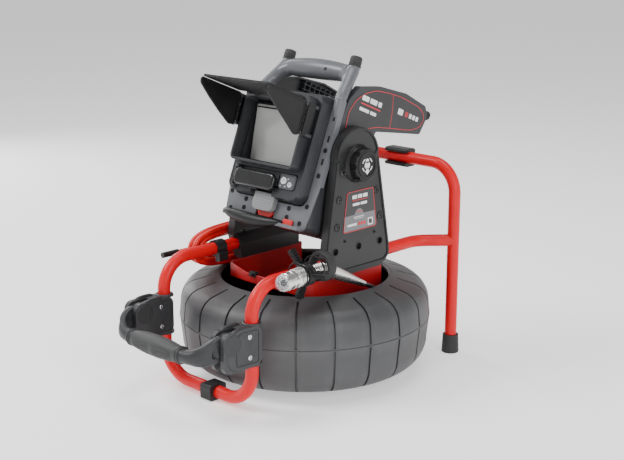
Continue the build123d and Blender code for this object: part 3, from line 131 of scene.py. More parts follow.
def finish_of(name, colour, rough=0.5, metallic=0.0, vary=0.1, patch=35.0, grain=900.0,
              bump=0.12, relief=0.00008, coat=0.0, edge=0.0, dust=0.0, spec=0.5, stretch=None):
    """A procedural finish: mottled colour, uneven gloss, fine grain and paler edges painted on as a
    highlight.
    """
    m = bpy.data.materials.new(name)
    m.use_nodes = True
    nodes, join = m.node_tree.nodes, m.node_tree.links.new
    shader = nodes["Principled BSDF"]

    def node(kind, socket, source, **values):
        """A node with its values set and one socket fed."""
        made = nodes.new("ShaderNode" + kind)
        for key, value in values.items():
            made.inputs[key.replace("_", " ")].default_value = value
        join(source, made.inputs[socket])
        return made

    def blend(amount, over):
        """The colour so far with another laid over it by an amount."""
        mix = nodes.new("ShaderNodeMix")
        mix.data_type = "RGBA"
        mix.inputs["B"].default_value = (*over, 1)
        join(amount.outputs["Result"], mix.inputs["Factor"])
        join(colour_out, mix.inputs["A"])
        return mix.outputs["Result"]

    place = nodes.new("ShaderNodeTexCoord").outputs["Object"]
    source = node("Mapping", "Vector", place, Scale=stretch).outputs["Vector"] if stretch else place
    mottle = node("TexNoise", "Vector", source, Scale=patch, Detail=5).outputs["Fac"]
    ramp = node("ValToRGB", "Fac", mottle)
    for stop, position, level in zip(ramp.color_ramp.elements, (0.3, 0.7), (1 - vary, 1 + vary)):
        stop.position = position
        stop.color = (*[min(1, c * level) for c in colour], 1)
    colour_out = ramp.outputs["Color"]
    if dust:
        settle = node("TexNoise", "Vector", place, Scale=7.0, Detail=8).outputs["Fac"]
        amount = node("MapRange", "Value", settle, From_Min=0.45, From_Max=0.8, To_Max=dust)
        colour_out = blend(amount, (0.32, 0.31, 0.30))
    # edge: sharp edges painted paler, a painted highlight standing in for the sheen on rounded edges
    if edge:
        shape = nodes.new("ShaderNodeNewGeometry").outputs["Pointiness"]
        edge_highlight = node("MapRange", "Value", shape, From_Min=0.53, From_Max=0.68, To_Max=edge)
        colour_out = blend(edge_highlight, [min(1, c * 2.2 + 0.05) for c in colour])
    join(colour_out, shader.inputs["Base Color"])
    sheen = node("MapRange", "Value", mottle, To_Min=max(0.03, rough - 0.07), To_Max=min(1, rough + 0.07))
    join(sheen.outputs["Result"], shader.inputs["Roughness"])
    shader.inputs["Metallic"].default_value = metallic
    shader.inputs["Coat Weight"].default_value = coat
    shader.inputs["Specular IOR Level"].default_value = spec
    if coat:
        shader.inputs["Coat Roughness"].default_value = 0.12
    fine = node("TexNoise", "Vector", source, Scale=grain, Detail=3).outputs["Fac"]
    lift = node("Bump", "Height", fine, Strength=bump, Distance=relief)
    join(lift.outputs["Normal"], shader.inputs["Normal"])
    return m


# edge= sets how much paler the sharp edges are painted, a painted highlight
RED = finish_of("red_powder_coat", (0.68, 0.003, 0.008), 0.38, vary=0.05, grain=1500, bump=0.25,
                relief=0.00005, coat=0.06, spec=0.25)
RED_PAN = finish_of("red_sheet_paint", (0.44, 0.008, 0.012), 0.45, vary=0.07, grain=900, coat=0.05,
                    spec=0.35)
DRUM = finish_of("drum_polymer", (0.048, 0.049, 0.052), 0.50, vary=0.09, patch=18, grain=1100,
                 bump=0.3, relief=0.0001, dust=0.08, edge=0.5)
BLACK = finish_of("black_polymer", (0.0065, 0.0065, 0.007), 0.42, vary=0.14, grain=1300, bump=0.3,
                  relief=0.00008, edge=0.2, dust=0.015, spec=0.32)
ARM = finish_of("arm_polymer", (0.010, 0.0103, 0.0112), 0.34, vary=0.1, grain=1300, bump=0.25,
                relief=0.00007, edge=0.2, dust=0.015, spec=0.4)
CLAMP = finish_of("clamp_polymer", (0.026, 0.027, 0.029), 0.44, vary=0.1, grain=1200, bump=0.3,
                  relief=0.0001, edge=0.25, dust=0.02, spec=0.35)
CHARCOAL = finish_of("charcoal_shell", (0.019, 0.020, 0.023), 0.34, vary=0.08, grain=1500,
                     bump=0.25, relief=0.00006, edge=0.4, spec=0.42)
GREY = finish_of("grey_casting", (0.115, 0.120, 0.131), 0.32, vary=0.06, grain=1400, bump=0.25,
                 relief=0.00006, edge=0.12, spec=0.45)
RUBBER = finish_of("rubber", (0.018, 0.018, 0.018), 0.68, vary=0.15, grain=700, bump=0.4,
                   relief=0.00015, dust=0.06)
GRIP = finish_of("grip_rubber", (0.040, 0.041, 0.042), 0.60, vary=0.1, grain=900, bump=0.4,
                 relief=0.00012, dust=0.04)
SCREW = finish_of("dark_screw", (0.055, 0.055, 0.057), 0.35, metallic=0.85, vary=0.15, grain=900)
BRIGHT = finish_of("bright_screw", (0.55, 0.55, 0.56), 0.25, metallic=1.0, vary=0.1, grain=900)
STEEL = finish_of("turned_steel", (0.45, 0.45, 0.46), 0.28, metallic=1.0, vary=0.08, grain=500,
                  stretch=(1, 1, 12))
STAINLESS = finish_of("stainless", (0.80, 0.79, 0.77), 0.27, metallic=1.0, vary=0.06, grain=700)
CABLE = finish_of("push_cable_jacket", (0.016, 0.016, 0.017), 0.38, vary=0.1, grain=800)
CORD = finish_of("red_cord_jacket", (0.70, 0.010, 0.008), 0.36, vary=0.06, grain=900, coat=0.1)
TAB = finish_of("latch_grey", (0.23, 0.235, 0.24), 0.36, vary=0.07, grain=1200, edge=0.2)
TONGUE = finish_of("latch_red", (0.72, 0.012, 0.012), 0.32, vary=0.05, grain=900, coat=0.2)
GLOSS = finish_of("door_gloss", (0.012, 0.012, 0.013), 0.22, vary=0.1, grain=700, spec=0.5)
PANEL = finish_of("panel_grey", (0.060, 0.063, 0.070), 0.38, vary=0.07, grain=1300, edge=0.15)
KEY = finish_of("white_key", (0.72, 0.73, 0.74), 0.35, vary=0.04, grain=900)
BEZEL = finish_of("display_bezel", (0.012, 0.012, 0.013), 0.30, vary=0.1, grain=700)
LABEL = finish_of("label_film", (0.026, 0.026, 0.028), 0.34, vary=0.1, grain=1800, bump=0.1)
LABEL_PALE = finish_of("label_grey", (0.17, 0.17, 0.18), 0.36, vary=0.06, grain=1800, bump=0.1)
LABEL_RED = finish_of("label_red", (0.60, 0.02, 0.03), 0.38, vary=0.05, grain=1500, bump=0.1)
LABEL_WHITE = finish_of("label_white", (0.78, 0.78, 0.78), 0.38, vary=0.04, grain=1500, bump=0.1)
# near black: painted shade for hollows (the flange's slots and screw wells, the grip's port hole) and the
# lens's own dark glass
DARK = finish_of("dark_hollow", (0.006, 0.006, 0.006), 0.8, vary=0.1)


def glass(name, colour, rough, alpha):
    m = finish_of(name, colour, rough, vary=0.03, grain=300, bump=0.02)
    shader = m.node_tree.nodes["Principled BSDF"]
    shader.inputs["Alpha"].default_value = alpha
    shader.inputs["Transmission Weight"].default_value = 0.0
    return m


WINDOW = glass("clear_window", (0.75, 0.80, 0.85), 0.05, 0.14)
SCREEN = finish_of("screen_glass", (0.46, 0.462, 0.45), 0.16, vary=0.03, patch=8, grain=300,
                   bump=0.02, coat=0.6)

FINISH = {
    RED: ["front_loop_tube", "rail_tubes", "rear_arch_tube"],
    RED_PAN: ["hub_carrier_pan"],
    DRUM: ["drum_upper_shell", "drum_lower_shell", "drum_hub"],
    ARM: ["arm_left_inner", "arm_left_outer", "arm_right_inner", "arm_right_outer"],
    BLACK: ["tube_clips", "ring_holder", "star_guide", "hook_caps", "cable_fittings",
            "visor_top", "visor_left", "visor_right", "slip_ring_housing", "battery_bay",
            "tilt_knob_left", "tilt_knob_right", "battery_pack"],
    GLOSS: ["port_door"],
    PANEL: ["control_panel"],
    CLAMP: ["clamp_outer_halves", "clamp_inner_halves", "handle_bow"],
    CHARCOAL: ["front_shell", "rear_housing", "hood_cheeks"],
    GREY: ["carry_frame"],
    RUBBER: ["rear_feet", "bumpers", "system_plug"],
    GRIP: ["handle_grip"],
    SCREW: ["cap_screws", "drum_screws"],
    STEEL: ["hub_axle", "hub_bearing", "handle_pins", "pivot_shafts", "hinge_pins"],
    CORD: ["cable_hooks", "system_cable_coil", "system_cable_lead", "system_cable_tail"],
    STAINLESS: ["camera_head", "camera_spring"],
    WINDOW: ["camera_window"],
    CABLE: ["push_cable_lead", "push_cable_coil"],
    TAB: ["latch_tab"],
    TONGUE: ["latch_tongue"],
    KEY: ["power_key", "menu_key"],
    BEZEL: ["display_module"],
    SCREEN: ["display_glass"],
}
SOFT_EDGE = {"carry_frame": 1.6, "front_shell": 1.2, "hood_cheeks": 1.2, "rear_housing": 2.0,
             "arm_right_outer": 1.2, "arm_left_outer": 1.2, "clamp_outer_halves": 1.5,
             "clamp_inner_halves": 1.5, "handle_bow": 1.0, "visor_top": 0.4, "visor_left": 0.4,
             "visor_right": 0.4, "port_door": 2.8, "latch_tab": 1.0, "latch_tongue": 1.5,
             "battery_pack": 2.0, "battery_bay": 1.0, "hub_carrier_pan": 0.5, "bumpers": 2.5,
             "control_panel": 0.8, "tube_clips": 0.8, "ring_holder": 1.0, "star_guide": 0.4,
             "power_key": 0.5, "menu_key": 0.5, "tilt_knob_right": 0.8, "tilt_knob_left": 0.8,
             "drum_upper_shell": 1.6, "drum_lower_shell": 1.6, "cable_fittings": 0.6,
             "hook_caps": 1.0, "system_plug": 0.8, "display_module": 0.6}
for material, names in FINISH.items():
    for name in names:
        slots = NODES[name].data.materials
        slots.clear()
        slots.append(material)
for name, width in SOFT_EDGE.items():
    soft = NODES[name].modifiers.new("soft_edge", "BEVEL")
    soft.width = width * MM
    soft.segments = 2
    soft.limit_method = "ANGLE"
    soft.angle_limit = radians(32)
    soft.harden_normals = False

SLOTS = {
    "red_tube": [RED, TONGUE, LABEL_RED],
    "red_pan": [RED_PAN],
    "drum_plastic": [DRUM],
    "black_plastic": [BLACK, ARM, CLAMP, TAB, GLOSS, BEZEL, LABEL, LABEL_PALE, CHARCOAL, PANEL],
    "grey_casting": [GREY],
    "black_rubber": [RUBBER, GRIP],
    "dark_screw": [SCREW, DARK],
    "steel": [BRIGHT, STEEL],
    "stainless": [STAINLESS],
    "white_key": [LABEL_WHITE, KEY],
}
SLOT_OF = {material: slot for slot, materials in SLOTS.items() for material in materials}

# ------------------------------------------------------------------ making pieces


def piece(name, verts, faces, material, body, slot=None, smooth=True, bevel=0.0,
          segments=2, angle=35):
    """A mesh piece that rides on a body, with rounded edges where asked."""
    mesh = bpy.data.meshes.new(name)
    mesh.from_pydata([tuple(v) for v in verts], [], faces)
    mesh.validate()
    bm = bmesh.new()
    bm.from_mesh(mesh)
    bmesh.ops.remove_doubles(bm, verts=bm.verts, dist=1e-7)
    bmesh.ops.recalc_face_normals(bm, faces=bm.faces)
    bm.to_mesh(mesh)
    bm.free()
    o = bpy.data.objects.new(name, mesh)
    bpy.context.scene.collection.objects.link(o)
    mesh.materials.append(material)
    for p in mesh.polygons:
        p.use_smooth = smooth
    if bevel:
        b = o.modifiers.new("bevel", "BEVEL")
        b.width = bevel * MM
        b.segments = segments
        b.limit_method = "ANGLE"
        b.angle_limit = radians(angle)
    if smooth:
        mesh.set_sharp_from_angle(angle=radians(40))
    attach(o, body)
    slot = slot or SLOT_OF[material]
    return o


def rounded(points, radius, steps=5):
    """An outline with each corner rounded off."""
    result = []
    count = len(points)
    for i in range(count):
        before, here, after = (Vector(points[k % count]) for k in (i - 1, i, i + 1))
        a, b = (before - here), (after - here)
        cut = min(radius, a.length * 0.45, b.length * 0.45)
        start, end = here + a.normalized() * cut, here + b.normalized() * cut
        for k in range(steps + 1):
            t = k / steps
            result.append(tuple(start * (1 - t) ** 2 + here * 2 * t * (1 - t) + end * t ** 2))
    return result


def rail_of(name, points, radius, material, body, slot=None, closed=False, order=3, flat=False):
    """A round bead along smooth points, in metres."""
    curve = bpy.data.curves.new(name, "CURVE")
    curve.dimensions = "3D"
    curve.bevel_depth = radius * MM
    curve.bevel_resolution = 4
    curve.use_fill_caps = True
    spline = curve.splines.new("POLY" if flat else "NURBS")
    spline.points.add(len(points) - 1)
    for p, co in zip(spline.points, points):
        p.co = (*co, 1)
    spline.use_cyclic_u = closed
    if not flat:
        spline.order_u = order
        spline.use_endpoint_u = not closed
        spline.resolution_u = 6
    curve.materials.append(material)
    o = bpy.data.objects.new(name, curve)
    bpy.context.scene.collection.objects.link(o)
    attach(o, body)
    slot = slot or SLOT_OF[material]
    return o


def cord_curve(name, points, radius, material, resolution=8):
    """A NURBS cord through its route's control points, in metres."""
    curve = bpy.data.curves.new(name, "CURVE")
    curve.dimensions = "3D"
    curve.bevel_depth = radius * MM
    curve.bevel_resolution = 5
    curve.use_fill_caps = True
    spline = curve.splines.new("NURBS")
    spline.points.add(len(points) - 1)
    for p, co in zip(spline.points, points):
        p.co = (*co, 1)
    spline.order_u = 3
    spline.use_endpoint_u = True
    spline.resolution_u = resolution
    curve.materials.append(material)
    o = bpy.data.objects.new(name, curve)
    bpy.context.scene.collection.objects.link(o)
    return o


# ------------------------------------------------------------------ system cable on its hooks
CORD_R = 4.0
TURN_POINTS = 16
LAYERS = [(-117.6, 0.0), (-128.4, 0.05), (-117.4, 0.5), (-128.6, 0.55), (-118.0, 1.0), (-128.0, 0.97)]


def hank_point(turn, step):
    """One control point of the hank: flat loops over the two hooks, one layer over another."""
    t = (turn + step / TURN_POINTS)
    here, after = LAYERS[turn], LAYERS[min(turn + 1, len(LAYERS) - 1)]
    blend = max(0.0, (step / TURN_POINTS - 0.55) / 0.45)
    x = here[0] + (after[0] - here[0]) * blend
    grow = here[1] + (after[1] - here[1]) * blend
    half = 87 + 21 * grow
    high = 16.5 + 13 * grow
    centre = 178.5 + 2 * grow
    a = 2 * pi * t + pi * 0.5
    c, s = cos(a), sin(a)
    y = -17 + half * copysign(abs(c) ** 0.62, c)
    z = centre + high * copysign(abs(s) ** 0.75, s)
    return at(x, y, z)


hank = [hank_point(turn, step) for turn in range(len(LAYERS)) for step in range(TURN_POINTS)]
lead_in = [at(-96.5, -1.5, 155), at(-104, 6, 155), at(-110, 18, 157), at(-114, 34, 160)]
system_route = lead_in + hank[9:] + [at(-126, 20, 205), at(-124, 60, 204.5), at(-123, 86, 198),
                                      at(-123, 98, 197), at(-123, 108.5, 197)]
system_cord = cord_curve("system_cable", system_route, CORD_R, CORD)


def spline_points(points, per=24):
    """The smooth line of a cord's route, read off its own spline."""
    probe = cord_curve("probe", points, 0, CORD, per)
    probe.data.bevel_depth = 0
    mesh = bpy.data.meshes.new_from_object(probe)
    line = [v.co.copy() for v in mesh.vertices]
    bpy.data.meshes.remove(mesh)
    bpy.data.objects.remove(probe)
    return line


line = spline_points(system_route)
SYSTEM_LENGTH = sum((b - a).length for a, b in zip(line, line[1:]))
print("system cable length", round(SYSTEM_LENGTH, 3))
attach(system_cord, "frame")
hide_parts("system_cable_coil", "system_cable_lead", "system_cable_tail")

# ------------------------------------------------------------------ push cable
LEAD_ROUTE = [at(117, 8, 150), at(109, 61, 125), at(70, 112, 101), at(8, 142, 84),
              at(-55, 148, 71), at(-98, 127, 62.2)]
push_lead = cord_curve("push_cable_run", LEAD_ROUTE, 3.35, CABLE)
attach(push_lead, "frame")
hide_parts("push_cable_lead")

# ------------------------------------------------------------------ shapes for mouldings


def between(p0, p1, p2, p3, t):
    """A point or number between p1 and p2 on a smooth line through all four."""
    return 0.5 * (p1 * 2 + (p2 - p0) * t + (p0 * 2 - p1 * 5 + p2 * 4 - p3) * t * t
                  + (p1 * 3 - p0 - p2 * 3 + p3) * t * t * t)


def swept(stations, across, steps=24, per=6):
    """A closed bar through stations: centre, half width, half height, squareness."""
    rows, count = [], len(stations)
    for i in range(count - 1):
        near = [stations[max(0, min(count - 1, k))] for k in (i - 1, i, i + 1, i + 2)]
        for k in range(per):
            rows.append([between(*[s[j] for s in near], k / per) for j in range(4)])
    rows.append(list(stations[-1]))
    across = Vector(across)
    verts = []
    for i, (centre, wide, high, power) in enumerate(rows):
        way = (rows[min(i + 1, len(rows) - 1)][0] - rows[max(i - 1, 0)][0]).normalized()
        side = (across - way * across.dot(way)).normalized()
        top = way.cross(side)
        for k in range(steps):
            c, s = cos(2 * pi * k / steps), sin(2 * pi * k / steps)
            verts.append(centre + (side * wide * copysign(abs(c) ** (2 / power), c)
                                   + top * high * copysign(abs(s) ** (2 / power), s)) * MM)
    faces = [tuple(range(steps)), tuple(range(len(verts) - steps, len(verts)))]
    for r in range(len(rows) - 1):
        for k in range(steps):
            j = (k + 1) % steps
            faces.append((r * steps + k, r * steps + j, (r + 1) * steps + j, (r + 1) * steps + k))
    return verts, faces


def turned(profile, frame_m, steps=40):
    """A closed turned shape: profile is (radius, height) in mm round the frame's third axis."""
    verts, faces = [], []
    for radius, height in profile:
        for i in range(steps):
            a = 2 * pi * i / steps
            verts.append(frame_m @ (Vector((radius * cos(a), radius * sin(a), height)) * MM))
    for ring in range(len(profile) - 1):
        for i in range(steps):
            j = (i + 1) % steps
            faces.append((ring * steps + i, ring * steps + j,
                          (ring + 1) * steps + j, (ring + 1) * steps + i))
    last = len(verts) - steps
    if profile[0][0] > 1 and len(profile) > 2:
        faces += [(i, (i + 1) % steps, last + (i + 1) % steps, last + i) for i in range(steps)]
    else:
        faces += [tuple(range(steps)), tuple(range(last, len(verts)))]
    return verts, faces


def brick(frame_m, x, y, z):
    """A block from its ranges along the frame's axes, in mm."""
    verts = [frame_m @ (Vector((i, j, k)) * MM) for i in x for j in y for k in z]
    return verts, [(0, 1, 3, 2), (4, 6, 7, 5), (0, 4, 5, 1), (2, 3, 7, 6), (0, 2, 6, 4), (1, 5, 7, 3)]


def plate(outline, frame_m, depth):
    """A flat outline in mm given a depth along the frame's third axis."""
    n = len(outline)
    verts = [frame_m @ (Vector((x, y, h)) * MM) for h in (0, depth) for x, y in outline]
    faces = [tuple(range(n)), tuple(range(n, 2 * n))]
    return verts, faces + [(i, (i + 1) % n, n + (i + 1) % n, n + i) for i in range(n)]


def joined(shapes):
    """Several shapes as one list of points and faces."""
    verts, faces = [], []
    for points, sides in shapes:
        base = len(verts)
        verts += points
        faces += [tuple(base + i for i in side) for side in sides]
    return verts, faces


def fuse(name, shapes, material, body, slot=None, voxel=1.2, relax=5, cuts=()):
    """One smooth moulding from overlapping closed shapes, with other shapes cut out of it."""
    def rough(label, group):
        mesh = bpy.data.meshes.new(label)
        verts, faces = joined(group)
        mesh.from_pydata([tuple(v) for v in verts], [], faces)
        bm = bmesh.new()
        bm.from_mesh(mesh)
        bmesh.ops.recalc_face_normals(bm, faces=bm.faces)
        bm.to_mesh(mesh)
        bm.free()
        o = bpy.data.objects.new(label, mesh)
        bpy.context.scene.collection.objects.link(o)
        return o

    source = rough(name + "_rough", shapes)
    scrap = [source]
    remesh = source.modifiers.new("join", "REMESH")
    remesh.mode = "VOXEL"
    remesh.voxel_size = voxel * MM
    relaxed = source.modifiers.new("relax", "SMOOTH")
    relaxed.factor = 0.5
    relaxed.iterations = relax
    if cuts:
        tool = rough(name + "_cut", cuts)
        scrap.append(tool)
        less = source.modifiers.new("less", "BOOLEAN")
        less.operation = "DIFFERENCE"
        less.object = tool
        less.solver = "EXACT"
    state = source.evaluated_get(bpy.context.evaluated_depsgraph_get())
    mesh = bpy.data.meshes.new_from_object(state)
    for o in scrap:
        bpy.data.objects.remove(o)
    mesh.name = name
    mesh.materials.clear()
    mesh.materials.append(material)
    for p in mesh.polygons:
        p.use_smooth = True
        p.material_index = 0
    if cuts:
        mesh.set_sharp_from_angle(angle=radians(50))
    o = bpy.data.objects.new(name, mesh)
    bpy.context.scene.collection.objects.link(o)
    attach(o, body)
    slot = slot or SLOT_OF[material]
    return o


def solid(name, shapes, material, body, slot=None, **how):
    """A piece made of one or more closed shapes."""
    verts, faces = joined(shapes if isinstance(shapes, list) else [shapes])
    how.setdefault("smooth", False)
    return piece(name, verts, faces, material, body, slot, **how)


def inset(outline, amount):
    """An outline moved inwards by an amount in mm."""
    points = [Vector(p) for p in outline]
    area = sum(a.x * b.y - b.x * a.y for a, b in zip(points, points[1:] + points[:1]))
    turn = 1 if area > 0 else -1
    result = []
    for i, here in enumerate(points):
        before, after = points[i - 1], points[(i + 1) % len(points)]
        d1, d2 = (here - before).normalized(), (after - here).normalized()
        n = Vector((-d1.y - d2.y, d1.x + d2.x))
        n = n.normalized() * turn if n.length > 1e-6 else Vector((-d1.y, d1.x)) * turn
        lean = max(0.35, n.dot(Vector((-d1.y, d1.x)) * turn))
        result.append(tuple(here + n * amount / lean))
    return result


def band(outline, width, frame_m, depth):
    """A raised line of that width just inside an outline."""
    n, inner = len(outline), inset(outline, width)
    verts = [frame_m @ (Vector((x, y, h)) * MM) for h in (0, depth) for x, y in outline]
    verts += [frame_m @ (Vector((x, y, h)) * MM) for h in (0, depth) for x, y in inner]
    faces = []
    for i in range(n):
        j = (i + 1) % n
        faces += [(i, j, n + j, n + i), (2 * n + i, 2 * n + j, 3 * n + j, 3 * n + i),
                  (n + i, n + j, 3 * n + j, 3 * n + i), (i, j, 2 * n + j, 2 * n + i)]
    return verts, faces


def box_outline(x, y, radius=0.0, steps=4):
    corners = [(x[0], y[0]), (x[1], y[0]), (x[1], y[1]), (x[0], y[1])]
    return rounded(corners, radius, steps) if radius else corners


MON = basis((1, 0, 0), UP, PIVOT)  # across, up and out of the monitor
RIGHT_CHEEK = basis(-OUT, UP, mon(91.2, 0, 0))  # backwards, up, outwards
LEFT_CHEEK = basis(OUT, UP, mon(-91.2, 0, 0))  # forwards, up, outwards


# ------------------------------------------------------------------ monitor: grip and posts
HANDLE = []
for side in (-1, 1):
    HANDLE.append(swept([
        (mon(side * 86, 52, 50.5), 5.0, 3.2, 2.6),
        (mon(side * 84.5, 66, 50), 6.5, 6.0, 2.2),
        (mon(side * 82.5, 84, 46.5), 8.6, 8.7, 2),
        (mon(side * 77, 104, 36.5), 9.0, 9.2, 2),
        (mon(side * 71, 121, 27), 10.0, 10.0, 2),
        (mon(side * 69, 130, 23), 9.8, 9.8, 2),
        (mon(side * 69, 138.5, 22), 9.0, 9.0, 2),
    ], (1, 0, 0)))
    HANDLE.append(swept([
        (mon(side * 78, 96, 39), 7.5, 7.5, 2),
        (mon(side * 72, 111, 31), 10.0, 9.5, 2),
        (mon(side * 63, 121, 25.5), 11.8, 11.0, 2),
        (mon(side * 50, 125.5, 23.3), 12.4, 11.6, 2),
        (mon(side * 38, 126.6, 23), 12.8, 12.0, 2),
    ], UP))
fuse("monitor_handle_posts", HANDLE, GREY, "monitor", voxel=1.3, relax=6)
solid("monitor_grip", swept([
    (mon(-59, 125.2, 23.2), 11.0, 10.2, 2), (mon(-57, 125.8, 23.1), 12.6, 11.8, 2.1),
    (mon(-40, 126.6, 23), 14.2, 13.4, 2.1), (mon(-20, 127.2, 23), 15.2, 14.3, 2.1),
    (mon(0, 127.5, 23), 15.5, 14.7, 2.1), (mon(20, 127.2, 23), 15.2, 14.3, 2.1),
    (mon(40, 126.6, 23), 14.2, 13.4, 2.1), (mon(57, 125.8, 23.1), 12.6, 11.8, 2.1),
    (mon(59, 125.2, 23.2), 11.0, 10.2, 2)], UP, steps=40, per=5), GREY, "monitor",
    smooth=True)
# the grip's port hole: a thin near-black disc, painted shade
solid("monitor_grip_port", turned([(0.01, 0), (2.6, 0), (2.6, 0.5), (0.01, 0.5)],
                                  basis((1, 0, 0), UP, mon(27, 126, 23 + 13.6))),
      DARK, "monitor", "grey_casting")

# rubber bumpers at the posts' tops and the hood's tails
for side, where in SIDES:
    flip = basis((1, 0, 0), -OUT, mon(side * 69, 137, 22))
    profile = [(0.01, 0), (9.8, 0), (9.9, 1.6), (9.0, 2.2), (9.0, 3.0), (9.5, 3.4), (9.4, 5.0),
               (8.9, 5.4),
               (8.9, 6.2), (9.3, 6.6), (9.1, 12.5), (8.5, 14.2), (7.3, 15.4), (5.0, 15.9), (0.01, 16)]
    solid(f"post_bumper_{where}", turned(profile, flip), RUBBER, "monitor", smooth=True)
    tail = basis((1, 0, 0), -UP, mon(side * 85.6, 112, -139))
    profile = [(0.01, 0), (4.8, 0), (4.4, 6), (5.0, 7.2), (7.0, 7.8), (7.4, 9.5), (7.2, 12), (5.6, 13.6),
               (3, 14.3), (0.01, 14.4)]
    solid(f"tail_bumper_{where}", turned(profile, tail), RUBBER, "monitor", smooth=True)
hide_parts("bumpers")

# ------------------------------------------------------------------ monitor: hood labels and cheeks
HOOD_LABEL = [(29, 33.5), (32.7, 47.6), (34.3, 68.2), (24.7, 89.7), (7.5, 104.8), (-12.4, 114.7),
              (-44.5, 120.1), (-73.9, 122.5), (-121, 119.8), (-136, 112.7), (-141, 102.6),
              (-135, 87.9), (-115, 77.3), (-68, 67.7), (-33.8, 60.1)]
for side, where in SIDES:
    frame_m = RIGHT_CHEEK if side > 0 else LEFT_CHEEK
    flip = -1 if side > 0 else 1
    outline = rounded([(flip * n, u) for n, u in HOOD_LABEL], 7)
    solid(f"hood_label_{where}", plate(outline, frame_m, 0.35), LABEL, "monitor", "shell_plastic")
    lines = [band(inset(outline, 1.6), 0.9, frame_m, 0.5)]
    cut = [(-53.2, 118.6), (-57.6, 106), (-61.4, 92.2), (-63.6, 80), (-64.6, 68.4)]
    for (n0, u0), (n1, u1) in zip(cut, cut[1:]):
        lines.append(plate([(flip * (n0 - 0.45), u0), (flip * (n0 + 0.45), u0),
                            (flip * (n1 + 0.45), u1), (flip * (n1 - 0.45), u1)], frame_m, 0.5))
    lines.append(plate(box_outline(sorted((flip * 12, flip * -34)), (86.4, 88.2)), frame_m, 0.5))
    for n, u in [(-92, 99), (-96, 99)]:
        lines.append(plate(box_outline(sorted((flip * n, flip * (n - 2.2))), (u - 4, u + 4)), frame_m,
                           0.5))
    solid(f"hood_label_lines_{where}", lines, LABEL_RED, "monitor")
    marks = []
    for n0, n1, u0, u1, r in [(12, -4, 92, 99.5, 1.2), (-7, -23, 92, 99.5, 1.2),
                              (-26, -34, 92, 99.5, 1.2),
                              (12, -10, 76.5, 81.5, 1.2), (-13, -27, 76.5, 81.5, 1.2),
                              (-74, -86, 94.5, 103.5, 1.5), (-102, -108, 95.5, 102.5, 1),
                              (-110.5, -116.5, 95.5, 102.5, 1), (-119, -125, 95.5, 102.5, 1)]:
        marks.append(plate(box_outline(sorted((flip * n0, flip * n1)), (u0, u1), r), frame_m, 0.5))
    solid(f"hood_label_marks_{where}", marks, LABEL_WHITE, "monitor")
    # rib grid inside the cheek
    ribs = []
    inner = basis(-OUT, UP, mon(side * 80.6, 0, 0))
    for k in range(9):
        back = 40 + 12 * k
        ribs.append(brick(inner, (back, back + 1.0),
                          (103 if back < 130 else 108, 121 if back < 120 else 116),
                          (0, side * 7.4)))
    for u in (106, 114):
        ribs.append(brick(inner, (36, 140), (u, u + 1.0), (0, side * 7.4)))
    solid(f"cheek_ribs_{where}", ribs, CHARCOAL, "monitor", "shell_plastic")

# ------------------------------------------------------------------ monitor: chin, dock, screws
fuse("dock_chin", [swept([
    (mon(-82, -113, 58), 3, 3, 2), (mon(-66, -115.5, 60), 7, 6.5, 2), (mon(-42, -117.5, 61.5), 9, 8, 2),
    (mon(-14, -118.5, 62), 9.5, 8, 2), (mon(16, -117, 61), 8, 7, 2), (mon(36, -114, 59), 5, 5, 2),
    (mon(44, -113, 57), 2.5, 3, 2)], UP, steps=28)], BLACK, "monitor", voxel=1.4, relax=4)
solid("dock_block", brick(MON, (43, 62), (-119.5, -106), (53.2, 56.5)), TONGUE, "monitor",
      bevel=1.2)

# screw wells on the flange in near black, painted shade of the recesses
flange_screws = []
for x, u in [(-86, 68), (86, 68), (-86, 3), (86, 3), (-86, -35), (86, -35), (-80, -82), (80, -82),
             (-46, -90), (46, -90), (-46, -103), (46, -103), (-74, -108), (74, -108)]:
    flange_screws.append(turned([(0.01, 0), (3.6, 0), (3.6, 0.7), (3.0, 1.1), (2.2, 1.1), (2.0, 0.2),
                                 (0.01, 0.2)],
                                basis((1, 0, 0), UP, mon(x, u, 52.9)), 20))
solid("flange_screw_wells", flange_screws, DARK, "monitor")
# flange slots: thin near-black plates, painted shade standing for the recessed slots
slots = []
for side in (-1, 1):
    for u in (52, 20, -14):
        slots.append(plate(box_outline((side * 86 - 2.0, side * 86 + 2.0), (u - 5, u + 5), 1.9),
                           basis((1, 0, 0), UP, mon(0, 0, 52.6)), 0.55))
solid("flange_slots", slots, DARK, "monitor")

# ------------------------------------------------------------------ arms: rims, label, knobs
ARM_FACE = 106  # the arms' outer faces
ARM_SCREWS = [(-28, 322.4), (-35, 282.7), (-38.9, 242.5), (45.5, 285.7), (54.5, 245.7)]
ARM_HOLES = [(-43, 206.5, 5), (7.3, 206.5, 5), (54.4, 206.5, 5), (-23.5, 219.5, 1.8), (41.5, 222.4, 1.8)]
ARM_LABEL = [(-19.3, 291.4), (37.8, 292.1), (45.7, 231.7), (-27.2, 231.3)]
ARM_LABEL_GREY = [(-24.6, 255.5), (-3, 256), (0, 261), (3, 263.6), (7, 264.6), (11, 263.6), (14, 261),
                  (17, 256), (41.3, 255.8), (43.9, 236), (42, 233.2), (-24.4, 232.8), (-26, 235)]
ARM_EDGE = [(-41, 340), (-64, 200), (-58, 180), (-32, 172.6), (66, 172.6), (76, 182), (75, 200),
            (49, 340)]
arc = [(4 + 45.6 * cos(a), 340 + 45.6 * sin(a)) for a in [radians(8 + 164 * k / 14) for k in range(15)]]
arm_outline = rounded(ARM_EDGE, 5) + arc
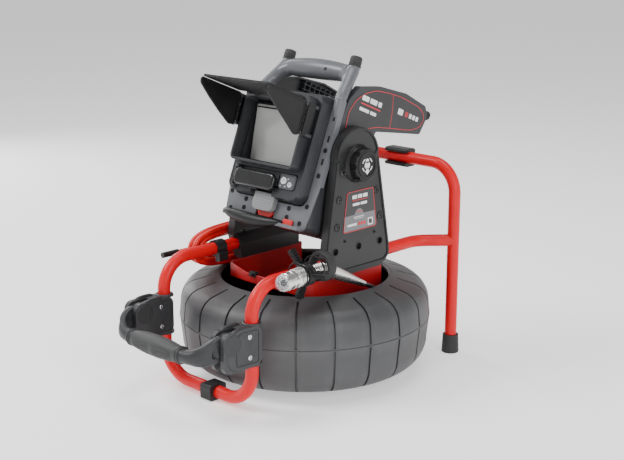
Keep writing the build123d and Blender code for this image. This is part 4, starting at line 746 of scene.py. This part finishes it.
for side, where in SIDES:
    frame_m = outward(side * ARM_FACE, 0, 0, side)
    outline = [(side * y, z) for y, z in arm_outline]
    solid(f"arm_rim_{where}", band(inset(outline, 0.6), 3.6, frame_m, 1.6), ARM, "frame",
          bevel=0.6, smooth=True)
    inner = basis((0, -side, 0), (0, 0, 1), at(side * 92.8, 0, 0))
    back = [(-side * y, z) for y, z in arm_outline]
    upper = [p for p in back if p[1] > 204]
    solid(f"arm_inner_rim_{where}", band(inset(upper, 0.8), 3.0, inner, 0.45), ARM, "frame", smooth=True)
    wells, heads = [], []
    for y, z in ARM_SCREWS:
        spot = outward(side * ARM_FACE, y, z, side)
        wells.append(turned([(4.4, 0.0), (6.6, 0.0), (6.4, 0.9), (5.2, 1.1), (4.4, 0.6)], spot, 32))
        heads.append(turned([(0.01, -0.4), (1.5, -0.4), (1.5, 0.5), (3.6, 0.5), (4.1, 0.1), (4.1, -0.4)],
                            spot, 24))
    solid(f"arm_screw_seats_{where}", wells, ARM, "frame", smooth=True)
    solid(f"arm_screw_heads_{where}", heads, SCREW, "frame", smooth=True)
    holes = [turned([(r, 0.02), (r + 1.2, 0.02), (r + 1.0, 0.7), (r, 0.5)],
                    outward(side * ARM_FACE, y, z, side), 28)
             for y, z, r in ARM_HOLES]
    solid(f"arm_hole_rims_{where}", holes, ARM, "frame", smooth=True)

    # label: dark film above, grey below, thin red border
    label = rounded([(side * y, z) for y, z in ARM_LABEL], 4)
    solid(f"arm_label_{where}", plate(label, frame_m, 0.35), LABEL, "frame")
    low = [(side * y, z) for y, z in ARM_LABEL_GREY]
    solid(f"arm_label_grey_{where}", plate(low, frame_m, 0.42), LABEL_PALE, "frame")
    lines = [band(label, 0.9, frame_m, 0.6)]
    lines.append(plate(box_outline(sorted((side * -8, side * 25)), (277, 278)), frame_m, 0.55))
    lines.append(plate(box_outline(sorted((side * 1, side * 13)), (259.6, 260.8)), frame_m, 0.6))
    lines += [plate(box_outline(sorted((side * (5 + 6 * k), side * (9.6 + 6 * k))), (239, 243.5), 0.6),
                    frame_m, 0.6) for k in range(3)]
    solid(f"arm_label_lines_{where}", lines, LABEL_RED, "frame")
    marks = []
    for y0, y1, z0, z1 in [(-8, 2, 280, 285.5), (4, 13, 280, 285.5), (15, 25, 280, 285.5),
                           (-7, 8, 269.5, 273.5), (10, 24, 269.5, 273.5),
                           (-5, 18, 251.8, 252.8), (-3, 16, 249.4, 250.2), (-18, 2, 239.5, 243),
                           (26.5, 37.5, 235.5, 246.5)]:
        marks.append(plate(box_outline(sorted((side * y0, side * y1)), (z0, z1), 0.8), frame_m, 0.55))
    solid(f"arm_label_marks_{where}", marks, LABEL_WHITE, "frame")
    solid(f"arm_label_square_{where}", plate(box_outline(sorted((side * 28.5, side * 35.5)),
                                                         (237.5, 244.5), 0.5),
                                             frame_m, 0.7), LABEL, "frame")

    # knob face: sunk disc and a turning arrow
    knob = f"knob_{where}"
    face = basis((0, side, 0), (0, 0, 1), Vector((side * 0.124, 0, 0)) + Vector((0, PIVOT.y, PIVOT.z)))
    solid(f"knob_ring_{where}", turned([(16.5, -0.2), (19.3, -0.2), (19.0, 0.9), (17.6, 1.3),
                                        (16.7, 0.9)],
                                       face, 64), BLACK, knob, smooth=True)
    foot = basis((0, side, 0), (0, 0, 1), Vector((side * 0.1068, PIVOT.y, PIVOT.z)))
    solid(f"knob_skirt_{where}", turned([(20, 0), (28.5, 0), (28.0, 1.2), (25.6, 2.6), (24.4, 5),
                                         (20, 5)], foot, 64),
          BLACK, knob, smooth=True)
    parts = [turned([(0.01, 0), (5.6, 0), (5.6, 0.5), (0.01, 0.5)], face, 36)]
    parts.append(plate([(-2.4, -4), (2.4, -4), (2.4, -8.5), (5.2, -8.5), (0, -14), (-5.2, -8.5),
                        (-2.4, -8.5)],
                       face, 0.5))
    parts.append(plate([(-3.6, 3), (3.6, 3), (2.6, 8.6), (0, 9.8), (-2.6, 8.6)], face, 0.5))
    for start, end in [(20, 62), (118, 160), (196, 232), (308, 344)]:
        outer_arc = [radians(start + (end - start) * k / 6) for k in range(7)]
        parts.append(plate([(11.2 * cos(a), 11.2 * sin(a)) for a in outer_arc]
                           + [(9.6 * cos(a), 9.6 * sin(a)) for a in reversed(outer_arc)], face, 0.5))
    solid(f"knob_marks_{where}", parts, LABEL_WHITE, knob)

# ------------------------------------------------------------------ clamps and carrying handle
for side, where in SIDES:
    x = side * 96
    shapes = []
    for z, way in [(134, 1), (76, -1)]:
        ring_m = basis((1, 0, 0), (0, 1 * way, 0), at(x, -202, z - 1.5 * way))
        shapes.append(turned([(9.7, 0), (14.2, 0), (13.8, 2.6), (12.6, 3.6), (10.4, 3.9), (9.7, 3.6)],
                             ring_m, 40))
    solid(f"clamp_collars_{where}", shapes, CLAMP, "frame", smooth=True)
    # hinge knuckles and the ribs that run from them over the block
    cheeks = []
    for edge in (-1, 1):
        hub_m = outward(x + (8.2 if edge > 0 else -14.6), -250, 116)
        cheeks.append(turned([(0.01, 0), (15.0, 0), (16.2, 1.0), (16.4, 5.4), (15.2, 6.4), (0.01, 6.4)],
                             hub_m, 48))
        near = x + edge * 11.2
        cheeks.append(swept([(at(near, -252, 130), 3.2, 2.4, 2.4), (at(near, -240, 134.4), 3.2, 2.6, 2.4),
                             (at(near, -222, 135.2), 3.2, 2.0, 2.4), (at(near, -216, 134), 3, 1, 2.4)],
                            (1, 0, 0), 16, 5))
        cheeks.append(swept([(at(near, -262, 104), 3.2, 2.6, 2.4), (at(near, -258, 88), 3.2, 3.0, 2.4),
                             (at(near, -246, 77.4), 3.2, 2.6, 2.4), (at(near, -230, 75.4), 3, 1.6, 2.4)],
                            (1, 0, 0), 16, 5))
    fuse(f"clamp_knuckles_{where}", cheeks, CLAMP, "frame", voxel=1.1, relax=4)
    outer = outward(x + 14, 0, 0)
    panel = rounded([(-243, 82), (-201, 80.5), (-200.5, 129), (-236, 130.5), (-245, 122)], 5)
    solid(f"clamp_panel_{where}", band(panel, 1.5, outer, 0.8), CLAMP, "frame", bevel=0.3,
          smooth=True)
    heads = []
    for y, z in [(-218, 121), (-218, 91)]:
        spot = outward(x + 13.4, y, z)
        heads.append(turned([(0.01, 0.5), (1.5, 0.5), (1.6, 1.3), (2.9, 1.4), (3.7, 0.9), (3.9, 0.2),
                             (3.9, 0)],
                            spot, 30))
    solid(f"clamp_screws_{where}", heads, BRIGHT, "frame", smooth=True)

GRIP_BAR = (-293, 100)  # back and height of the carrying grip's middle line
arms = []
for side in (-1, 1):
    arms.append(swept([
        (at(side * 46, *GRIP_BAR), 11.4, 11.4, 2), (at(side * 53, *GRIP_BAR), 12.2, 12.0, 2),
        (at(side * 57, *GRIP_BAR), 10.6, 10.4, 2), (at(side * 70, -292.3, 100.6), 10.2, 9.6, 2),
        (at(side * 82, -289, 102.5), 11.8, 7.6, 2.2), (at(side * 91, -281, 106.5), 14.0, 6.0, 2.6),
        (at(side * 95.4, -270, 110.5), 15.4, 5.4, 2.8), (at(side * 96, -258, 113.5), 15.6, 5.3, 2.8),
        (at(side * 96, -250, 116), 14.6, 5.3, 2.8)], (0, 0, 1), 28, 6))
    arms.append(turned([(0.01, 0), (15.2, 0), (15.4, 5.6), (15.2, 11.2), (0.01, 11.2)],
                       outward(side * 96 - 5.6, -250, 116), 44))
    for rise in (1, -1):
        arms.append(swept([
            (at(side * 64, -292.6, 100.4 + rise * 7.5), 2.6, 3.4, 2),
            (at(side * 76, -291, 101.4 + rise * 9.0), 2.8, 4.6, 2),
            (at(side * 88, -285, 104.8 + rise * 12.4), 2.8, 5.2, 2),
            (at(side * 95, -273, 109.5 + rise * 15.0), 2.6, 5.6, 2),
            (at(side * 96, -260, 113.2 + rise * 15.2), 2.4, 5.6, 2)], (0, 0, 1), 18, 6))
CUT = []
for side in (-1, 1):
    for face in (-1, 1):
        CUT.append(swept([
            (at(side * 79 - side * face * 4.4, -289.8 - face * 8.2, 101.6), 2.8, 2.4, 2.2),
            (at(side * 88 - side * face * 5.4, -283.8 - face * 5.0, 105.2), 5.6, 2.6, 2.2),
            (at(side * 94.4 - side * face * 6.4, -273.5 - face * 2.0, 109.3), 8.4, 2.7, 2.2),
            (at(side * 96 - side * face * 6.6, -264 - face * 0.6, 112), 9.0, 2.7, 2.2)], (0, 0, 1), 20,
                         5))
fuse("handle_arms", arms, CLAMP, "front_handle", voxel=1.2, relax=4, cuts=CUT)
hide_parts("handle_bow")
grip = []
for k in range(41):
    t = -1 + 2 * k / 40
    r = 15.2 - 4.0 * abs(t) ** 2.2
    grip.append((at(50 * t, *GRIP_BAR), r, r * 0.97, 2.15))
solid("handle_grip_rubber", swept(grip, (0, 0, 1), 40, 1), GRIP, "front_handle", smooth=True)
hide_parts("handle_grip")
rings = [turned([(10.4, -0.9), (12.5, -0.7), (12.8, 0), (12.5, 0.7), (10.4, 0.9)],
                outward(x, *GRIP_BAR), 40) for x in (-55, -51, 51, 55)]
solid("handle_grip_rings", rings, GRIP, "front_handle", smooth=True)
ribs = []
for k in range(9):
    a = radians(150 + 15 * k)
    for s in (-1, 1):
        line = [(at(s * x, -293 + (15.4 - 4.0 * abs(x / 50) ** 2.2) * cos(a),
                    100 + (15.0 - 4.0 * abs(x / 50) ** 2.2) * sin(a)), 0.45, 0.45, 2)
                for x in (4, 14, 24, 34, 42)]
        ribs.append(swept(line, (0, 0, 1), 8, 2))
solid("handle_grip_ribs", ribs, GRIP, "front_handle", smooth=True)

# ------------------------------------------------------------------ camera head, spring and guide
HEAD_WAY = Vector((5, -95, -5)).normalized()
RING = at(125, -90, 197)
TAIL_WAY = (at(117, 8, 150) - RING).normalized()


def head_frame(along):
    """A frame whose third axis runs forward along the camera head, its origin that far ahead."""
    across = Vector((0, 0, 1)).cross(HEAD_WAY).normalized()
    up = HEAD_WAY.cross(across)
    return basis(across, up, RING + HEAD_WAY * along * MM)


body = [(0.01, 43), (10.2, 43), (12.6, 43.6)]
for k in range(5):
    z = 45 + 3.3 * k
    body += [(12.5, z), (13.6, z + 0.5), (13.6, z + 1.7), (12.5, z + 2.2)]
body += [(12.5, 66), (12.9, 66.4), (12.9, 68.2), (12.4, 68.6), (12.4, 75), (12.8, 75.4), (12.8, 78.6),
         (12.2, 79.2), (12.1, 80.8), (10.9, 81.4), (10.6, 80.2), (0.01, 80.2)]
solid("camera_body", turned(body, head_frame(0), 56), STAINLESS, "frame", smooth=True)
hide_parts("camera_head")
solid("camera_lens", [turned([(0.01, 80.2), (4.6, 80.2), (4.8, 83.4), (4.2, 84.2), (2.6, 84.0),
                              (2.2, 83.2),
                              (0.01, 83.4)], head_frame(0), 36)], DARK, "frame", "black_plastic",
      smooth=True)
lamps, cups = [], []
for k in range(8):
    a = 2 * pi * k / 8
    spot = head_frame(0) @ Matrix.Translation(Vector((7.6 * cos(a), 7.6 * sin(a), 0)) * MM)
    cups.append(turned([(0.01, 80.3), (1.75, 80.3), (1.85, 82.2), (1.5, 82.3), (1.4, 81.4), (0.01, 81.4)],
                       spot, 16))
    lamps.append(turned([(0.01, 81.4), (1.2, 81.4), (1.2, 82), (0.7, 82.6), (0.01, 82.7)], spot, 14))
solid("camera_lamp_cups", cups, BRIGHT, "frame", "stainless", smooth=True)
solid("camera_lamps", lamps, KEY, "frame", smooth=True)
solid("camera_bezel", turned([(10.2, 80.4), (11.9, 80.8), (12.1, 82.4), (11.6, 83.6), (10.9, 83.6),
                              (10.3, 82.2)],
                             head_frame(0), 48), STAINLESS, "frame", smooth=True)


def spring_line(along):
    """The spring's middle line, straight ahead of the storage ring and bent down behind it."""
    if along > 14:
        return RING + HEAD_WAY * along * MM
    if along < -14:
        return RING - TAIL_WAY * along * MM
    t = (14 - along) / 28
    ahead, behind = RING + HEAD_WAY * 14 * MM, RING + TAIL_WAY * 14 * MM
    return ahead * (1 - t) ** 2 + RING * 2 * t * (1 - t) + behind * t ** 2


coil = []
PITCH, STEPS = 3.1, 14
turns = int((44 + 14) / PITCH)
for k in range(turns * STEPS + 1):
    along = 44 - PITCH * k / STEPS
    middle = spring_line(along)
    way = (spring_line(along + 0.5) - spring_line(along - 0.5)).normalized()
    across = Vector((1, 0, 0))
    across = (across - way * across.dot(way)).normalized()
    up = way.cross(across)
    a = 2 * pi * k / STEPS
    coil.append(middle + (across * cos(a) + up * sin(a)) * 8.3 * MM)
rail_of("camera_spring_coil", coil, 1.25, STAINLESS, "frame")
solid("camera_spring_core", swept([(spring_line(a), 7.0, 7.0, 2) for a in (44, 30, 15, 5, -5, -16)],
                                  (1, 0, 0), 24, 4),
      STEEL, "frame", "stainless", smooth=True)
tail = [(-12, 9.0), (-14, 9.9), (-17, 10.3), (-24, 10.2), (-40, 9.6), (-58, 8.4), (-76, 6.9), (-92, 5.5),
        (-104, 4.7),
        (-108.6, 4.3)]
solid("camera_tail", swept([(spring_line(a), r, r, 2) for a, r in tail], (1, 0, 0), 32, 4), STAINLESS,
      "frame", smooth=True)
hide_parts("camera_spring")

guide = [turned([(10.0, 29.5), (15.0, 29.5), (16.4, 31), (16.6, 34), (15.6, 35.4), (15.6, 37.4),
                 (16.6, 38.6),
                 (16.4, 41.4), (15, 42.8), (10.0, 42.8)], head_frame(0), 44)]
for k in range(3):
    a = radians(130 + 120 * k)
    radial, along_t = Vector((cos(a), sin(a), 0)), Vector((-sin(a), cos(a), 0))
    fin_m = head_frame(36) @ basis(radial, along_t)
    guide.append(swept([(fin_m @ (Vector((r, 0, 0)) * MM), w, 5.6, 3.0) for r, w in
                        [(13, 3.4), (20, 2.6), (30, 2.5), (38, 2.8), (41, 2.0)]],
                       (head_frame(0).to_3x3() @ along_t), 20, 4))
    for tooth in range(6):
        guide.append(brick(fin_m, (19.5 + 3.7 * tooth, 21.3 + 3.7 * tooth), (-4.6, 4.6), (-5.0, 5.0)))
solid("star_guide_body", guide, BLACK, "frame", smooth=True, bevel=0.3)
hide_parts("star_guide")
paddle_m = head_frame(38) @ basis((cos(radians(250)), sin(radians(250)), 0),
                                  (-sin(radians(250)), cos(radians(250)), 0))
fuse("star_guide_paddle", [swept([(paddle_m @ (Vector((r, 0, 0)) * MM), w, 2.2, 2) for r, w in
                                  [(14, 4), (22, 9), (30, 11), (37, 8), (41, 3)]],
                                 HEAD_WAY, 24, 5)], BLACK, "frame", voxel=1.1, relax=3)
hoops = []
for along, radius, lift in [(52, 17.5, 3.5), (18, 18.5, 4.0)]:
    hoop_m = head_frame(along) @ Matrix.Translation(Vector((0, lift, 0)) * MM)
    count = 48
    path = [(hoop_m @ (Vector((radius * cos(2 * pi * k / count),
                               radius * sin(2 * pi * k / count), 0)) * MM)) for k in range(count)]
    hoops.append(path)
for k, path in enumerate(hoops):
    rail_of(f"star_guide_hoop_{'front' if k == 0 else 'rear'}", path, 1.0, BLACK, "frame", closed=True)

# storage ring on the right rail
holder_m = basis((1, 0, 0), (0, 0, 1), at(125, -83, 200))
holder = [turned([(17.2, 0), (20.8, 0), (21.8, 1.6), (21.8, 13), (20.8, 14.6), (17.2, 14.6), (16.6, 13),
                  (16.6, 1.6)],
                 holder_m, 56)]
holder.append(turned([(9.6, -1), (13.4, -1), (13.6, 1), (13.6, 13.6), (13.4, 15.4), (9.6, 15.4)],
                     basis((1, 0, 0), (0, 0, 1), at(96, -83, 186)), 40))
solid("ring_holder_body", holder, RUBBER, "frame", smooth=True)
solid("ring_holder_bridge", brick(REEL, (105, 113), (-97, -83.6), (183, 197)),
      RUBBER, "frame", bevel=2.0)
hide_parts("ring_holder")

# ------------------------------------------------------------------ visor flaps
def shifted(frame_m, x, y, z):
    """A frame moved along its own axes, in mm."""
    return frame_m @ Matrix.Translation(Vector((x, y, z)) * MM)


FLAP_PLANE = MON @ basis((1, 0, 0), (0, 0, 1))  # across and out, facing down
top_sheet = rounded([(-68.4, 105), (68.4, 105), (68.4, 181), (-68.4, 181)], 3.5)
shapes = [plate(top_sheet, shifted(FLAP_PLANE, 0, 0, -65.2), 2.4),
          band(top_sheet, 2.4, shifted(FLAP_PLANE, 0, 0, -65.9), 0.9),
          brick(MON, (-45.7, 45.7), (62.8, 65.2), (101, 106))]
for low, high in [(-45.5, -26), (-24, 24), (26, 45.5)]:
    knuckle = MON @ basis((0, 1, 0), (0, 0, 1), (low * MM, 0.064, 0.102))
    shapes.append(turned([(1.4, 0), (2.6, 0), (2.6, high - low), (1.4, high - low)], knuckle, 24))
for rib in range(10):
    start = 112 + 6.6 * rib
    shapes.append(brick(MON, (-66, 66), (62.45, 63), (start, start + 1.1)))
solid("visor_top_sheet", shapes, BLACK, "visor_top_flap", bevel=0.35)
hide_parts("visor_top")
for side, flap_body, hinge_out, node in [(-1, "visor_left_flap", 94, "visor_left"),
                                         (1, "visor_right_flap", 97.5, "visor_right")]:
    start = hinge_out + 3.4
    edge = rounded([(start, 62.3), (start, 12), (start + 9, 10), (132, 23), (158, 38), (180.5, 53),
                    (181, 62.3)], 4)
    flap_m = MON @ basis((0, 0, 1), (0, 1, 0), (side * 0.0705, 0, 0))
    shapes = [plate(edge, shifted(flap_m, 0, 0, -1), 2),
              band(inset(edge, 0.4), 2.2, shifted(flap_m, 0, 0, 0.9), 0.8),
              band(inset(edge, 0.4), 2.2, shifted(flap_m, 0, 0, -1.7), 0.8),
              brick(flap_m, (hinge_out, start + 1.5), (18.3, 55.7), (-1, 1)),
              plate(rounded([(hinge_out - 14, 61), (hinge_out - 12, 20), (hinge_out - 4, 12.4),
                             (hinge_out + 1.5, 11.5), (hinge_out + 1.5, 62)], 2.5),
                    shifted(flap_m, 0, 0, -side * 4.2 - 0.8), 1.6),
              brick(flap_m, (hinge_out - 1, hinge_out + 1.4), (18.5, 55.5),
                    sorted((-side * 4.4, -side * 2)))]
    for low, high in [(18.5, 29), (31, 43), (45, 55.5)]:
        knuckle = MON @ basis((0, 0, 1), (1, 0, 0), (side * 0.0705, low * MM, hinge_out * MM))
        shapes.append(turned([(1.4, 0), (2.6, 0), (2.6, high - low), (1.4, high - low)], knuckle, 24))
    solid(f"{node}_sheet", shapes, BLACK, flap_body, bevel=0.35)
    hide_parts(node)

# ------------------------------------------------------------------ control panel, door and latch
def at_out(out):
    """The monitor's frame, moved outwards."""
    return shifted(MON, 0, 0, out)


solid("door_cover", plate(box_outline((-54.5, 28.5), (-72.5, -47.5), 8), at_out(75.3), 7.6), GLOSS,
      "door", bevel=3.2, segments=5, smooth=True)
solid("door_leaf", [turned([(1.4, 0), (2.5, 0), (2.5, 27.4), (1.4, 27.4)],
                           MON @ basis((0, 0, 1), (1, 0, 0), (-0.057, -0.0737, 0.0775)), 24),
                    brick(MON, (-57, -50), (-71, -49), (75.5, 78)),
                    plate(box_outline((-20, -4), (-74.3, -71.5), 1.2), at_out(76.5), 3.0)], GLOSS, "door",
      bevel=0.4)
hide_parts("port_door")
solid("key_outline", [band(box_outline((34.6, 62.4), (-64, -45), 4), 0.8, at_out(73.9), 0.6),
                      band(box_outline((-64, 64), (-64.3, -43.8), 3), 1.0, at_out(66.4), 0.5)], PANEL,
      "monitor", bevel=0.2)
dots = [turned([(0.01, 0), (0.9, 0), (0.8, 0.5), (0.01, 0.5)],
               shifted(MON, x, u, 73.9), 16) for x, u in [(49.5, -50), (36.9, -61.5), (46.5, -61.5)]]
solid("key_lamps", dots, LABEL_WHITE, "monitor", smooth=True)
for name, body_of, (x, u, r) in [("power", "power_button", (42, -53.5, 5)),
                                 ("menu", "menu_button", (55.5, -58, 3.6))]:
    icon = [turned([(r * 0.42, 0), (r * 0.54, 0), (r * 0.54, 0.25), (r * 0.42, 0.25)],
                   shifted(MON, x, u, 75.5), 28),
            brick(MON, (x - 0.35, x + 0.35), (u, u + r * 0.6), (75.5, 75.8))]
    solid(f"{name}_key_mark", icon, LABEL, body_of)
crescent = [(19.0 * cos(radians(a)), -94.6 + 19.0 * sin(radians(a))) for a in range(200, 341, 7)]
crescent = crescent + [(15.5, -100.2), (-15.5, -100.2)]
solid("tongue_crescent", plate(crescent, at_out(45), 7.6), TONGUE, "release_latch", bevel=1.4)
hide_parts("latch_tongue")

tab = [(-21.5, -74.5), (21.5, -74.5), (21.5, -90)]
tab += [(13 + 8.5 * cos(radians(a)), -92 + 10 * sin(radians(a))) for a in range(-10, -91, -16)]
tab += [(-13 + 8.5 * cos(radians(a)), -92 + 10 * sin(radians(a)))
        for a in range(-90, -181, -16)]
tab.append((-21.5, -90))
solid("latch_face", plate(tab, at_out(53.4), 10.6), TAB, "release_latch", bevel=1.8, segments=3)
ridges = [brick(MON, (-17.5, 17.5), (-98.6 + 4.2 * k, -97.0 + 4.2 * k), (63.6, 65.2)) for k in range(4)]
ridges.append(plate(box_outline((-16, 16), (-82.5, -77), 1.5), at_out(63.6), 0.8))
solid("latch_ridges", ridges, TAB, "release_latch", bevel=0.5)
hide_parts("latch_tab")

# display surround
solid("display_surround", [band(box_outline((-61, 61), (-36, 50), 4), 2.2, at_out(72.6), 0.9)], BEZEL,
      "monitor", bevel=0.3)

# ------------------------------------------------------------------ drum seam
solid("drum_seam_line", turned([(193.8, 84.9), (195.15, 85.4), (195.15, 86.6), (193.8, 87.1)], REEL, 160),
      RUBBER, "drum", "drum_plastic", smooth=True)

# ------------------------------------------------------------------ push cable wound in the drum
winding = []
COLUMNS = [144.5 + 6.9 * k for k in range(5)]
ROWS = [24.5 + 6.9 * k for k in range(5)]
STOPS = [(r, z) for k, r in enumerate(COLUMNS) for z in (ROWS if k % 2 == 0 else ROWS[::-1])]
for turn, (radius, z) in enumerate(STOPS):
    after = STOPS[min(turn + 1, len(STOPS) - 1)]
    for step in range(16):
        move = max(0.0, (step - 12) / 4)
        a = 2 * pi * step / 16
        r = radius + (after[0] - radius) * move
        winding.append(at(r * cos(a), r * sin(a), z + (after[1] - z) * move))
wound = cord_curve("push_cable_wound", winding, 3.35, CABLE, resolution=4)
wound.data.bevel_resolution = 2
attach(wound, "drum")
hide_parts("push_cable_coil")

# ------------------------------------------------------------------ pan rim and cable clip
rim_line = [(86.7, 78), (86.7, -71.5), (81.2, -80), (22, -101.8)]
rim_line += [(-x, y) for x, y in reversed(rim_line)]
rail_of("pan_rim", [at(x, y, 163.6 if y > -60 else 160.8) for x, y in rim_line], 1.7, RED_PAN, "frame",
        flat=True)
solid("pan_cable_clip", [brick(basis((1, 0, 0), (0, 1, 0), at(-7, -101.5, 0)), (-7, 7), (-3.6, 3.8),
                               (158.5, 167)),
                         brick(basis((1, 0, 0), (0, 1, 0), at(-7, -101.5, 0)), (-4, 4), (-8, -3),
                               (160.5, 165))],
      BLACK, "frame", bevel=1.6)

# ------------------------------------------------------------------ back of the monitor and battery
HOUSING_BACK, BATTERY_BACK = -29.8, -85.9  # their rear faces behind the flange, mm


def behind(out):
    """A frame on the monitor's back, facing away from the display."""
    return shifted(MON, 0, 0, out) @ basis((-1, 0, 0), (0, 1, 0))


solid("housing_seam", [band(box_outline((-83, 83), (-117, 79), 14), 2.4, behind(HOUSING_BACK), 1.2)],
      CHARCOAL, "monitor", bevel=0.4)
vents = [plate(box_outline((-42, 42), (62.0 + 4.6 * k, 64.3 + 4.6 * k), 1.1), behind(HOUSING_BACK), 1.1)
         for k in range(3)]
vents += [plate(box_outline((-42, 42), (-100 + 5 * k, -97.5 + 5 * k), 1.1), behind(HOUSING_BACK),
                1.1) for k in range(5)]
solid("housing_vents", vents, CHARCOAL, "monitor", bevel=0.35)
heads = [turned([(0.01, 0.6), (1.4, 0.6), (1.5, 1.5), (3.4, 1.5), (3.9, 0.6), (3.9, 0)],
                shifted(behind(HOUSING_BACK), x, u, 0), 28)
         for x in (-74, 74) for u in (70, 5, -108)]
solid("housing_screws", heads, SCREW, "monitor", smooth=True)
ribs = [plate(box_outline((-28, 28), (-42 + 5.5 * k, -39.4 + 5.5 * k), 1.1), behind(BATTERY_BACK),
              1.0) for k in range(5)]
ribs.append(band(box_outline((-31, 31), (-48, 52), 6), 1.6, behind(BATTERY_BACK), 0.9))
solid("battery_ribs", ribs, BLACK, "battery", bevel=0.35)
solid("battery_plate", plate(box_outline((-22, 22), (0, 26), 3), behind(BATTERY_BACK), 0.5), LABEL_PALE,
      "battery", bevel=0.15)
solid("battery_gauge", [plate(box_outline((-12 + 6.4 * k, -8 + 6.4 * k), (38, 40.6), 1),
                              behind(BATTERY_BACK), 0.7)
                        for k in range(4)], LABEL_WHITE, "battery")
solid("battery_button", plate(box_outline((15, 23), (36, 43), 2), behind(BATTERY_BACK), 1.3), LABEL_RED,
      "battery", bevel=0.3)

# ------------------------------------------------------------------ floor
size = 9.0
floor_mesh = bpy.data.meshes.new("floor")
floor_mesh.from_pydata([(-size, -size, 0), (size, -size, 0), (size, size, 0), (-size, size, 0)],
                       [], [(0, 1, 2, 3)])
floor = bpy.data.objects.new("floor", floor_mesh)
bpy.context.scene.collection.objects.link(floor)
paper = finish_of("studio_paper", (0.94, 0.94, 0.94), 0.8, vary=0.004, grain=200, bump=0.01, spec=0.1)
glow = paper.node_tree.nodes["Principled BSDF"]
glow.inputs["Emission Color"].default_value = (1, 1, 1, 1)
glow.inputs["Emission Strength"].default_value = 0.55
floor_mesh.materials.append(paper)
